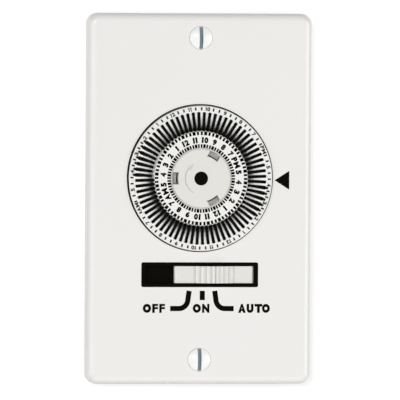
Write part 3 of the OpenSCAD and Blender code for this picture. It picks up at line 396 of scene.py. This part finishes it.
def blackened_arbor_steel():
    # Chemically blackened steel: nearly black, with an oily edge to it
    finish, tree, place = start_finish("blackened_turned_steel")
    oil = add(tree, "TexNoise", {"Vector": place, "Scale": 1 / (0.6 * MM), "Detail": 3.0})
    tone = add(tree, "Mix", {0: oil, 6: linear("#0A0906"), 7: linear("#100F0C")}, data_type="RGBA")
    gloss = add(tree, "MapRange", {"Value": oil, "To Min": 0.36, "To Max": 0.55})
    turned = add(tree, "Bump", {"Height": oil, "Distance": 0.006 * MM, "Strength": 0.5})
    shader = add(tree, "BsdfPrincipled", {
        "Base Color": tone, "Metallic": 1.0, "Roughness": gloss, "Normal": turned})
    add(tree, "OutputMaterial", {"Surface": shader})
    return finish


def tempered_spring_strip():
    # Tempered steel strip: cool grey with a straw-brown bloom from the oven
    finish, tree, place = start_finish("tempered_spring_steel")
    bloom = add(tree, "TexNoise", {"Vector": place, "Scale": 1 / (2 * MM), "Detail": 3.0})
    tone = add(tree, "Mix", {0: bloom, 6: linear("#8F949A"), 7: linear("#B3A890")}, data_type="RGBA")
    gloss = add(tree, "MapRange", {"Value": bloom, "To Min": 0.2, "To Max": 0.36})
    rolled = add(tree, "Bump", {"Height": bloom, "Distance": 0.005 * MM, "Strength": 0.4})
    shader = add(tree, "BsdfPrincipled", {
        "Base Color": tone, "Metallic": 1.0, "Roughness": gloss, "Normal": rolled})
    add(tree, "OutputMaterial", {"Surface": shader})
    return finish


def phosphor_bronze_contact():
    # Phosphor bronze: reddish gold, darker in thumbed patches
    finish, tree, place = start_finish("phosphor_bronze_stamped")
    thumbed = add(tree, "TexNoise", {"Vector": place, "Scale": 1 / (1.8 * MM), "Detail": 4.0})
    tone = add(tree, "Mix", {0: thumbed, 6: linear("#A9713F"), 7: linear("#CF9A63")}, data_type="RGBA")
    gloss = add(tree, "MapRange", {"Value": thumbed, "To Min": 0.4, "To Max": 0.24})
    stamped = add(tree, "Bump", {"Height": thumbed, "Distance": 0.006 * MM, "Strength": 0.4})
    shader = add(tree, "BsdfPrincipled", {
        "Base Color": tone, "Metallic": 1.0, "Roughness": gloss, "Normal": stamped})
    add(tree, "OutputMaterial", {"Surface": shader})
    return finish


def stamped_movement_brass():
    # Clock brass: brushed one way before it was stamped, still bright
    finish, tree, place = start_finish("clock_brass_brushed")
    along = add(tree, "Mapping", {"Vector": place, "Scale": (0.05, 1.0, 1.0)})
    brushed = add(tree, "TexNoise", {"Vector": along, "Scale": 1 / (0.2 * MM), "Detail": 3.0})
    tone = add(tree, "Mix", {0: brushed, 6: linear("#BFA055"), 7: linear("#DDC27C")}, data_type="RGBA")
    gloss = add(tree, "MapRange", {"Value": brushed, "To Min": 0.2, "To Max": 0.34})
    lines = add(tree, "Bump", {"Height": brushed, "Distance": 0.005 * MM, "Strength": 0.5})
    shader = add(tree, "BsdfPrincipled", {
        "Base Color": tone, "Metallic": 1.0, "Roughness": gloss, "Normal": lines})
    add(tree, "OutputMaterial", {"Surface": shader})
    return finish


def natural_gear_acetal():
    # Uncoloured acetal: creamy and slightly translucent, with a soft shine on the teeth
    finish, tree, place = start_finish("natural_acetal_moulding")
    cloud = add(tree, "TexNoise", {"Vector": place, "Scale": 1 / (3 * MM), "Detail": 3.0})
    tone = add(tree, "Mix", {0: cloud, 6: linear("#DDD4BC"), 7: linear("#E6DFCB")}, data_type="RGBA")
    gloss = add(tree, "MapRange", {"Value": cloud, "To Min": 0.34, "To Max": 0.46})
    flow = add(tree, "Bump", {"Height": cloud, "Distance": 0.01 * MM, "Strength": 0.3})
    shader = add(tree, "BsdfPrincipled", {
        "Base Color": tone, "Roughness": gloss, "Normal": flow, "IOR": 1.48, "Subsurface Weight": 0.15,
        "Subsurface Radius": (0.5, 0.45, 0.35), "Subsurface Scale": 1 * MM})
    add(tree, "OutputMaterial", {"Surface": shader})
    return finish


def drawn_motor_steel():
    # Deep drawn steel can: draw lines along its depth, light oil sheen
    finish, tree, place = start_finish("drawn_steel_can")
    drawn = add(tree, "Mapping", {"Vector": place, "Scale": (1.0, 0.05, 1.0)})
    lines = add(tree, "TexNoise", {"Vector": drawn, "Scale": 1 / (0.4 * MM), "Detail": 3.0})
    tone = add(tree, "Mix", {0: lines, 6: linear("#A0A3A6"), 7: linear("#BABCBE")}, data_type="RGBA")
    gloss = add(tree, "MapRange", {"Value": lines, "To Min": 0.28, "To Max": 0.44})
    grain = add(tree, "Bump", {"Height": lines, "Distance": 0.006 * MM, "Strength": 0.5})
    shader = add(tree, "BsdfPrincipled", {
        "Base Color": tone, "Metallic": 1.0, "Roughness": gloss, "Normal": grain})
    add(tree, "OutputMaterial", {"Surface": shader})
    return finish


def dark_lever_acetal():
    # Graphite-filled acetal: dark grey with fine paler specks
    finish, tree, place = start_finish("graphite_acetal_moulding")
    speck = add(tree, "TexNoise", {"Vector": place, "Scale": 1 / (0.2 * MM), "Detail": 2.0})
    tone = add(tree, "Mix", {0: speck, 6: linear("#2E2E30"), 7: linear("#444446")}, data_type="RGBA")
    gloss = add(tree, "MapRange", {"Value": speck, "To Min": 0.4, "To Max": 0.55})
    grain = add(tree, "Bump", {"Height": speck, "Distance": 0.008 * MM, "Strength": 0.4})
    shader = add(tree, "BsdfPrincipled", {
        "Base Color": tone, "Roughness": gloss, "Normal": grain, "IOR": 1.48, "Specular IOR Level": 0.3})
    add(tree, "OutputMaterial", {"Surface": shader})
    return finish


def phenolic_switch_case():
    # Wood-filled phenolic: brownish black with mottled flow marks
    finish, tree, place = start_finish("phenolic_pressed_moulding")
    flow = add(tree, "TexNoise", {"Vector": place, "Scale": 1 / (1.5 * MM), "Detail": 5.0, "Distortion": 1.2})
    tone = add(tree, "Mix", {0: flow, 6: linear("#221F1C"), 7: linear("#35302B")}, data_type="RGBA")
    gloss = add(tree, "MapRange", {"Value": flow, "To Min": 0.3, "To Max": 0.45})
    marks = add(tree, "Bump", {"Height": flow, "Distance": 0.01 * MM, "Strength": 0.4})
    shader = add(tree, "BsdfPrincipled", {
        "Base Color": tone, "Roughness": gloss, "Normal": marks, "IOR": 1.6, "Specular IOR Level": 0.4})
    add(tree, "OutputMaterial", {"Surface": shader})
    return finish


def red_plunger_nylon():
    # Red nylon: slightly clouded colour, a plain moulded sheen
    finish, tree, place = start_finish("red_nylon_moulding")
    cloud = add(tree, "TexNoise", {"Vector": place, "Scale": 1 / (0.8 * MM), "Detail": 3.0})
    tone = add(tree, "Mix", {0: cloud, 6: linear("#A8141E"), 7: linear("#C02530")}, data_type="RGBA")
    gloss = add(tree, "MapRange", {"Value": cloud, "To Min": 0.35, "To Max": 0.48})
    grain = add(tree, "Bump", {"Height": cloud, "Distance": 0.008 * MM, "Strength": 0.3})
    shader = add(tree, "BsdfPrincipled", {
        "Base Color": tone, "Roughness": gloss, "Normal": grain, "IOR": 1.53, "Specular IOR Level": 0.4})
    add(tree, "OutputMaterial", {"Surface": shader})
    return finish


def screen_ink(name, thin_tone, full_tone):
    # Screen printed enamel ink: matt and dense, a little thinner in specks where the mesh printed; the same
    # finish also carries painted shade
    finish, tree, place = start_finish(name)
    mesh_marks = add(tree, "TexNoise", {"Vector": place, "Scale": 1 / (0.25 * MM), "Detail": 2.0})
    tone = add(tree, "Mix", {0: mesh_marks, 6: linear(full_tone), 7: linear(thin_tone)}, data_type="RGBA")
    gloss = add(tree, "MapRange", {"Value": mesh_marks, "To Min": 0.55, "To Max": 0.7})
    shader = add(tree, "BsdfPrincipled", {
        "Base Color": tone, "Roughness": gloss, "Specular IOR Level": 0.02})
    add(tree, "OutputMaterial", {"Surface": shader})
    return finish


FINISHES = {
    "plate_plastic": moulded_urea_plate(),
    "screw_paint": enamelled_screw(),
    "strap_steel": zinc_plated_strap(),
    "screw_steel": zinc_plated_fastener(),
    "housing_plastic": eroded_housing_resin(),
    "terminal_brass": rolled_terminal_brass(),
    "black_plastic": black_slide_acetal(),
    "spring_steel": tempered_spring_strip(),
    "contact_brass": phosphor_bronze_contact(),
    "knob_plastic": satin_knob_acetal(),
    "dial_plastic": satin_dial_styrene(),
    "hub_plastic": satin_hub_acetal(),
    "tripper_plastic": tripper_acetal(),
    "arbor_steel": blackened_arbor_steel(),
    "movement_brass": stamped_movement_brass(),
    "gear_plastic": natural_gear_acetal(),
    "motor_steel": drawn_motor_steel(),
    "lever_plastic": dark_lever_acetal(),
    "switch_plastic": phenolic_switch_case(),
    "plunger_plastic": red_plunger_nylon(),
}
# The black serves the print and also the painted shade round the dial's hole
BLACK_INK_AND_SHADE = screen_ink("black_ink_and_painted_shade", "#0C0A06", "#070502")
GREY_INK = screen_ink("screen_ink_grey", "#32312E", "#24231F")
# The pale grey is painted shade round the hub, drawn like ink
PALE_SHADE_GREY = screen_ink("pale_grey_painted_shade", "#D0CECA", "#C6C4BF")

for part in frame["record"]["subparts"]:
    for slot in frame["nodes"][part["node"]].material_slots:
        slot.material = FINISHES[part["material_slot"]]


# Printing

# Points of a drawing that are closer than this are one, in millimetres
WELD = 0.0005


def made_points(made):
    """The points among what an operator made."""
    return [item for item in made["geom"] if isinstance(item, bmesh.types.BMVert)]


def printed_piece(name, drawing, ink, body):
    """Stands a drawing up as one printed piece that moves with a body."""
    bmesh.ops.remove_doubles(drawing, verts=drawing.verts, dist=WELD)
    bmesh.ops.recalc_face_normals(drawing, faces=drawing.faces)
    bmesh.ops.transform(drawing, matrix=STAND_UP, verts=drawing.verts)
    mesh = bpy.data.meshes.new(name)
    drawing.to_mesh(mesh)
    drawing.free()
    mesh.materials.append(ink)
    piece = bpy.data.objects.new(name, mesh)
    bpy.context.scene.collection.objects.link(piece)
    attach(piece, body)


def thicken(drawing, face_height):
    """Turns a flat drawing into a film of ink on a face of that height."""
    bmesh.ops.translate(drawing, verts=drawing.verts, vec=(0, 0, face_height - INK_SUNK))
    film = bmesh.ops.extrude_face_region(drawing, geom=drawing.faces[:])
    bmesh.ops.translate(drawing, verts=made_points(film), vec=(0, 0, INK_THICK))


def set_letter(drawing, letter, bold, width, height, stand):
    """Sets one plain built-in letter, fitted to a width and height, where it stands."""
    letters = bpy.data.curves.new("letter", "FONT")
    letters.body = letter
    letters.offset = bold
    letters.extrude = 0.5
    letters.resolution_u = 4
    holder = bpy.data.objects.new("letter", letters)
    mesh = bpy.data.meshes.new_from_object(holder)
    low = Vector([min(v.co[axis] for v in mesh.vertices) for axis in range(3)])
    high = Vector([max(v.co[axis] for v in mesh.vertices) for axis in range(3)])
    size = high - low
    fit = Matrix.Diagonal((width / size.x, height / size.y, INK_THICK / size.z, 1))
    mesh.transform(stand @ fit @ Matrix.Translation(-(low + high) / 2))
    drawing.from_mesh(mesh)
    bpy.data.meshes.remove(mesh)
    bpy.data.objects.remove(holder)
    bpy.data.curves.remove(letters)


def set_one(drawing, stroke, width, height, stand):
    """A figure one with a small flag: the built-in letter's one is a bare bar."""
    flag_lean, flag_up, flag_stroke = radians(38), 0.31 * height, 0.75 * stroke
    bar = Matrix.Translation(((width - stroke) / 2, 0, 0)) @ Matrix.Diagonal((stroke, height, INK_THICK, 1))
    flag = Matrix.Translation(((stroke - width) / 4, flag_up, 0)) @ Matrix.Rotation(flag_lean, 4, "Z")
    flag = flag @ Matrix.Diagonal((width, flag_stroke, INK_THICK, 1))
    for shape in (bar, flag):
        bmesh.ops.create_cube(drawing, size=1, matrix=stand @ shape)


def on_dial(turn, radius, face_height):
    """Place on the dial at a turn and radius, with the tops of letters pointing outwards."""
    middle = face_height + (INK_PROUD - INK_SUNK) / 2
    spot = Vector((radius * cos(radians(turn)), radius * sin(radians(turn)), middle))
    return Matrix.Translation(DIAL_CENTRE + spot) @ Matrix.Rotation(radians(turn - 90), 4, "Z")


def hour_label(hour):
    """The word printed at an hour: six in the morning and evening carry AM and PM."""
    return {6: "AM", 18: "PM"}.get(hour, str(hour % 12 or 12))


# Widths of the dial's figures and letters and the gap between two, as shares of their height
FIGURE_W = 0.67
OTHER_WIDTHS = {"1": 0.33, "A": 0.95, "M": 1.02, "P": 0.72}
FIGURE_GAP = 0.13
# An M has four strokes, so it is set lighter than the rest
M_LIGHTER = 0.4


def set_label(drawing, label, bold, stroke, height, wide, stand):
    """Sets a short label in a row, centred where it stands."""
    widths = [OTHER_WIDTHS.get(figure, FIGURE_W) * height * wide for figure in label]
    gap = FIGURE_GAP * height
    left = -(sum(widths) + gap * (len(label) - 1)) / 2
    for figure, width in zip(label, widths):
        spot = stand @ Matrix.Translation((left + width / 2, 0, 0))
        if figure == "1":
            set_one(drawing, stroke, width, height, spot)
        else:
            weight = M_LIGHTER * bold if figure == "M" else bold
            set_letter(drawing, figure, weight, width, height, spot)
        left += width + gap


def dial_labels(name, radius, face_height, height, wide, bold, stroke, ink):
    """A ring of hour numbers, their widths drawn out by a share."""
    drawing = bmesh.new()
    for hour in range(HOURS):
        stand = on_dial(hour_turn(hour), radius, face_height)
        set_label(drawing, hour_label(hour), bold, stroke, height, wide, stand)
    printed_piece(name, drawing, ink, "dial")


def dial_ticks(name, inner_r, outer_r, face_height, thin, thick, ink):
    """A ring of ticks, three to the hour; with no thick width the hours are left out."""
    drawing = bmesh.new()
    for step in range(HOURS * TICKS_PER_HOUR):
        width = thin if step % TICKS_PER_HOUR else thick
        if width is None:
            continue
        turn = hour_turn(0) + step * TICK_TURN
        stand = on_dial(turn, (inner_r + outer_r) / 2, face_height)
        shape = Matrix.Diagonal((width, outer_r - inner_r, INK_THICK, 1))
        bmesh.ops.create_cube(drawing, size=1, matrix=stand @ shape)
    printed_piece(name, drawing, ink, "dial")


dial_labels("hour_numbers", radius=11.85, face_height=NUMBER_FACE, height=1.83, wide=1.0, bold=0.07,
            stroke=0.57, ink=BLACK_INK_AND_SHADE)
dial_ticks("outer_ticks", inner_r=13.38, outer_r=14.48, face_height=NUMBER_FACE, thin=0.64, thick=0.95,
           ink=BLACK_INK_AND_SHADE)
dial_ticks("inner_ticks", inner_r=9.45, outer_r=10.58, face_height=NUMBER_FACE, thin=0.53, thick=0.78,
           ink=BLACK_INK_AND_SHADE)
dial_labels("rim_numbers", radius=21.42, face_height=RIM_FACE, height=1.22, wide=1.15, bold=0.045,
            stroke=0.27, ink=GREY_INK)
dial_ticks("rim_ticks", inner_r=20.98, outer_r=21.92, face_height=RIM_FACE, thin=0.47, thick=None,
           ink=BLACK_INK_AND_SHADE)


def time_pointer():
    """Printed triangle at the dial's right that shows the time."""
    apex_x, base_x, middle_up, tall, corner = 23.25, 27.82, 5.78, 5.8, 0.12
    drawing = bmesh.new()
    corners = [(apex_x, middle_up), (base_x, middle_up - tall / 2), (base_x, middle_up + tall / 2)]
    drawing.faces.new([drawing.verts.new((x, up, 0)) for x, up in corners])
    bmesh.ops.bevel(drawing, geom=drawing.verts[:], affect="VERTICES", offset=corner, segments=2, profile=0.5,
                    material=-1)
    thicken(drawing, PLATE_FACE)
    printed_piece("time_pointer", drawing, BLACK_INK_AND_SHADE, "case")


# How far the black runs down the sides of the dial's hole, where it is painted shade, and of the slide's
# window
LINING_DEPTH = 2.1


def ring_face(drawing, inner, outer):
    """Draws the flat border between two rectangles round the slide's window."""
    middle = Matrix.Translation((0, WINDOW_UP, 0))
    start = bmesh.ops.create_grid(drawing, x_segments=1, y_segments=1, size=0.5,
                                  matrix=middle @ Matrix.Diagonal((*inner, 1, 1)))
    opening = start["verts"][0].link_faces[:]
    grown = bmesh.ops.extrude_edge_only(drawing, edges=opening[0].edges[:])
    corners = made_points(grown)
    bmesh.ops.scale(drawing, verts=corners, vec=(outer[0] / inner[0], outer[1] / inner[1], 1),
                    space=Matrix.Translation((0, -WINDOW_UP, 0)))
    bmesh.ops.delete(drawing, geom=opening, context="FACES_ONLY")
    return corners


def window_border():
    """Printed border round the slide's window, and the same black down the window's sides."""
    side_w, top_w, corner_r, lining = 1.25, 1.03, 0.6, 0.05
    lined = (WINDOW_W - 2 * lining, WINDOW_H - 2 * lining)
    drawing = bmesh.new()
    corners = ring_face(drawing, lined, (WINDOW_W + 2 * side_w, WINDOW_H + 2 * top_w))
    bmesh.ops.bevel(drawing, geom=corners, affect="VERTICES", offset=corner_r, segments=4, profile=0.5,
                    material=-1)
    thicken(drawing, PLATE_FACE)
    sides = bmesh.new()
    ring_face(sides, lined, (WINDOW_W + 2 * INK_SUNK, WINDOW_H + 2 * INK_SUNK))
    film = bmesh.ops.extrude_face_region(sides, geom=sides.faces[:])
    bmesh.ops.translate(sides, verts=made_points(film), vec=(0, 0, LINING_DEPTH))
    bmesh.ops.translate(sides, verts=sides.verts, vec=(0, 0, PLATE_FACE - LINING_DEPTH))
    lining_mesh = bpy.data.meshes.new("lining")
    sides.to_mesh(lining_mesh)
    sides.free()
    drawing.from_mesh(lining_mesh)
    bpy.data.meshes.remove(lining_mesh)
    printed_piece("window_border", drawing, BLACK_INK_AND_SHADE, "case")


def spun_ring(name, centre, inner_r, outer_r, low, high, ink, body):
    """A thin ring round a centre, between two radii and two heights."""
    steps = 120
    middle = centre + Vector(((inner_r + outer_r) / 2, 0, (low + high) / 2))
    stand = Matrix.Translation(middle) @ Matrix.Rotation(radians(90), 4, "X")
    drawing = bmesh.new()
    bmesh.ops.create_grid(drawing, x_segments=1, y_segments=1, size=0.5,
                          matrix=stand @ Matrix.Diagonal((outer_r - inner_r, high - low, 1, 1)))
    bmesh.ops.delete(drawing, geom=drawing.faces[:], context="FACES_ONLY")
    bmesh.ops.spin(drawing, geom=drawing.edges[:], cent=centre, axis=(0, 0, 1), angle=radians(360),
                   steps=steps, use_merge=True)
    printed_piece(name, drawing, ink, body)


def hole_lining():
    """Painted shade: black down the side of the dial's hole and just over its lip, off centre, for the dark
    gap line round the dial.
    """
    dial_gap, film, lip = 0.35, 0.12, 0.07
    hole_aside, line_aside = Vector((-0.06, 0.08, 0)), Vector((-0.05, 0.02, 0))
    hole_r = DIAL_R + dial_gap
    lining_r = hole_r + INK_SUNK
    hole_centre = DIAL_CENTRE + hole_aside
    line_centre = hole_centre + line_aside
    spun_ring("hole_lining", hole_centre, lining_r - film, lining_r, PLATE_FACE - LINING_DEPTH, PLATE_FACE,
              BLACK_INK_AND_SHADE, "case")
    spun_ring("hole_shade_line", line_centre, hole_r - film / 2, hole_r + lip, PLATE_FACE - INK_SUNK,
              PLATE_FACE + INK_PROUD, BLACK_INK_AND_SHADE, "case")


def hub_line():
    """Painted shade: a grey ring at the number ring's inner edge, round the hub, for the shaded step there.
    """
    inner_r, outer_r = 9.08, 9.42
    spun_ring("hub_line", DIAL_CENTRE, inner_r, outer_r, NUMBER_FACE - INK_SUNK, NUMBER_FACE + INK_PROUD,
              PALE_SHADE_GREY, "dial")


# Stroke width of the lines from the slide to its words, their top and the height of their ends
LINE_W = 1.6
LINE_TOP = -28.36
LINE_END = -33.83


def curved_line(drawing, top_x, end_x):
    """A line that runs down from the slide, leaning outwards, and bends round to its word."""
    lean, bend_r, bend_steps = radians(8), 2.8, 12
    side = 1 if end_x > top_x else -1
    down = Vector((side * sin(lean), -cos(lean), 0))
    across = Vector((cos(lean), side * sin(lean), 0)) * side
    start = Vector((top_x, LINE_TOP, 0))
    bend_up = LINE_END + bend_r
    straight = (start.y + bend_r * across.y - bend_up) / cos(lean)
    centre = start + down * straight + across * bend_r
    stroke = drawing.edges.new([drawing.verts.new(start + across * half * LINE_W) for half in (-0.5, 0.5)])
    run = bmesh.ops.extrude_edge_only(drawing, edges=[stroke])
    ends = made_points(run)
    bmesh.ops.translate(drawing, verts=ends, vec=down * straight)
    edges = [item for item in run["geom"] if isinstance(item, bmesh.types.BMEdge)]
    last = [edge for edge in edges if set(edge.verts) == set(ends)]
    turned = bmesh.ops.spin(drawing, geom=last, cent=centre, axis=(0, 0, 1), steps=bend_steps,
                            angle=side * (radians(90) - lean))
    last = [item for item in turned["geom_last"] if isinstance(item, bmesh.types.BMEdge)]
    run = bmesh.ops.extrude_edge_only(drawing, edges=last)
    bmesh.ops.translate(drawing, verts=made_points(run), vec=(end_x - centre.x, 0, 0))


def slide_lines():
    """The three printed lines that lead from the slide's places to the words."""
    tick_x, tick_w, tick_bottom = 0.825, 1.57, -31.23
    drawing = bmesh.new()
    curved_line(drawing, top_x=-3.29, end_x=-9.2)
    curved_line(drawing, top_x=4.7, end_x=10.66)
    middle = Matrix.Translation((tick_x, (LINE_TOP + tick_bottom) / 2, 0))
    bmesh.ops.create_grid(drawing, x_segments=1, y_segments=1, size=0.5,
                          matrix=middle @ Matrix.Diagonal((tick_w, LINE_TOP - tick_bottom, 1, 1)))
    bmesh.ops.recalc_face_normals(drawing, faces=drawing.faces)
    thicken(drawing, PLATE_FACE)
    printed_piece("slide_lines", drawing, BLACK_INK_AND_SHADE, "case")


def slide_words():
    """OFF, ON and AUTO under the slide, each letter in its own measured place."""
    cap_height, middle_up, round_bold = 2.76, -33.77, 0.095
    other_bold = {"F": 0.05, "N": 0.07, "T": 0.08, "U": 0.09, "A": 0.11}
    places = (
        ("O", -17.74, -15.13), ("F", -14.78, -12.96), ("F", -12.58, -10.82),
        ("O", -2.15, 0.39), ("N", 0.79, 3.06),
        ("A", 12.06, 14.44), ("U", 14.72, 16.86), ("T", 17.2, 19.6), ("O", 19.5, 21.99))
    drawing = bmesh.new()
    for letter, left, right in places:
        middle = Vector(((left + right) / 2, middle_up, PLATE_FACE + (INK_PROUD - INK_SUNK) / 2))
        bold = other_bold.get(letter, round_bold)
        set_letter(drawing, letter, bold, right - left, cap_height, Matrix.Translation(middle))
    printed_piece("slide_words", drawing, BLACK_INK_AND_SHADE, "case")


time_pointer()
hole_lining()
hub_line()
window_border()
slide_lines()
slide_words()


# Studio


def white_rays(tree):
    """One for rays from the camera, from gloss and through glass, which see the white surroundings."""
    path = add(tree, "LightPath")
    seen = add(tree, "Math", {0: path.outputs["Is Camera Ray"], 1: path.outputs["Is Glossy Ray"]},
               operation="MAXIMUM")
    return add(tree, "Math", {0: seen, 1: path.outputs["Is Transmission Ray"]}, operation="MAXIMUM")


def wall_paint():
    # Matt white paint that takes the switch's shadow, with a painted glow for the camera that is weaker at
    # the lower right; clear from behind
    paint, tree, place = start_finish("matt_white_wall_paint")
    parts = add(tree, "SeparateXYZ", {"Vector": place})
    corner = add(tree, "Math", {0: parts.outputs["X"], 1: parts.outputs["Z"]}, operation="SUBTRACT")
    level = add(tree, "MapRange", {
        "Value": corner, "From Min": -60 * MM, "From Max": 60 * MM, "To Min": 0.66, "To Max": 0.58})
    glow = add(tree, "Emission", {"Strength": level})
    dark = add(tree, "Emission", {"Strength": 0.0})
    seen = add(tree, "MixShader", {0: white_rays(tree), 1: dark, 2: glow})
    matt = add(tree, "BsdfDiffuse", {"Color": linear("#B3B3B3")})
    front = add(tree, "AddShader", {0: matt, 1: seen})
    side = add(tree, "NewGeometry")
    clear = add(tree, "BsdfTransparent")
    both = add(tree, "MixShader", {0: side.outputs["Backfacing"], 1: front, 2: clear})
    add(tree, "OutputMaterial", {"Surface": both})
    return paint


def wall():
    """A wide wall just behind the plate's rim, open where a wall box takes the housing."""
    box_w, box_h, wall_size, behind = 56 * MM, 100 * MM, 3.0, 0.3 * MM
    sheet = bmesh.new()
    bmesh.ops.create_grid(sheet, x_segments=1, y_segments=1, size=0.5,
                          matrix=Matrix.Diagonal((box_w, box_h, 1, 1)))
    hole = sheet.faces[:]
    grown = bmesh.ops.extrude_edge_only(sheet, edges=sheet.edges[:])
    bmesh.ops.scale(sheet, verts=made_points(grown), vec=(wall_size / box_w, wall_size / box_h, 1))
    bmesh.ops.delete(sheet, geom=hole, context="FACES_ONLY")
    bmesh.ops.recalc_face_normals(sheet, faces=sheet.faces)
    stand = Matrix.Translation((0, behind, 0)) @ Matrix.Rotation(radians(90), 4, "X")
    bmesh.ops.transform(sheet, matrix=stand, verts=sheet.verts)
    for face in sheet.faces:
        if face.normal.y > 0:
            face.normal_flip()
    mesh = bpy.data.meshes.new("wall")
    sheet.to_mesh(mesh)
    sheet.free()
    mesh.materials.append(wall_paint())
    made = bpy.data.objects.new("wall", mesh)
    bpy.context.scene.collection.objects.link(made)


def studio_world():
    """Even light all round, a little stronger from below, and white wherever it is seen."""
    world = bpy.data.worlds.new("studio")
    world.use_nodes = True
    bpy.context.scene.world = world
    tree = world.node_tree
    tree.nodes.clear()
    parts = add(tree, "SeparateXYZ", {"Vector": add(tree, "TexCoord").outputs["Generated"]})
    level = add(tree, "MapRange", {
        "Value": parts.outputs["Z"], "From Min": -1.0, "From Max": 1.0, "To Min": 0.38, "To Max": 0.05})
    strength = add(tree, "Mix", {0: white_rays(tree), 2: level, 3: 1.0}, data_type="FLOAT")
    sky = add(tree, "Background", {"Color": linear("#FFFFFF"), "Strength": strength})
    add(tree, "OutputWorld", {"Surface": sky})


def aim(made, spot, target):
    """Puts a lamp or camera at a spot and turns it to a target."""
    made.location = spot
    made.rotation_euler = (Vector(target) - Vector(spot)).to_track_quat("-Z", "Y").to_euler()
    bpy.context.scene.collection.objects.link(made)


def soft_box(name, spot, size, power):
    """A square soft lamp that faces the switch, its size in metres and its power in watts."""
    lamp = bpy.data.lights.new(name, "AREA")
    lamp.shape = "SQUARE"
    lamp.size = size
    lamp.energy = power
    aim(bpy.data.objects.new(name, lamp), spot, (0, 0, 0))


def window_sun():
    """Broad light from the upper left in front, for the narrow shadow at the right and below."""
    lamp = bpy.data.lights.new("window_light", "SUN")
    spot = (-0.4, -1.0, 0.27)
    lamp.energy = 0.94
    lamp.angle = radians(10)
    aim(bpy.data.objects.new("window_light", lamp), spot, (0, 0, 0))


def photo_camera():
    """A long lens a little to the left and above, framing the plate as the picture does."""
    turn, rise, roll, distance = radians(-9.5), radians(1.2), radians(0.33), 3.0
    picture_w, pixels_per_mm = 400, 3.245
    frame_width = picture_w / pixels_per_mm * MM
    target = Vector((-0.06, -PLATE_FACE, -0.36)) * MM
    toward = Vector((sin(turn) * cos(rise), -cos(turn) * cos(rise), sin(rise)))
    lens = bpy.data.cameras.new("photo_camera")
    lens.sensor_width = 36
    lens.lens = lens.sensor_width * distance / frame_width
    lens.clip_end = 100
    camera = bpy.data.objects.new("photo_camera", lens)
    aim(camera, target + toward * distance, target)
    camera.rotation_euler.rotate_axis("Z", roll)
    bpy.context.scene.camera = camera


wall()
studio_world()
soft_box("left_box", spot=(-0.86, -0.58, 0.05), size=0.7, power=3.5)
soft_box("right_box", spot=(0.86, -0.58, 0.0), size=0.7, power=5.0)
soft_box("low_box", spot=(0.0, -0.7, -0.7), size=0.9, power=2.1)
soft_box("rear_box", spot=(0.4, 0.9, 0.6), size=0.8, power=5.0)
window_sun()
photo_camera()
bpy.context.scene.view_settings.view_transform = "Standard"
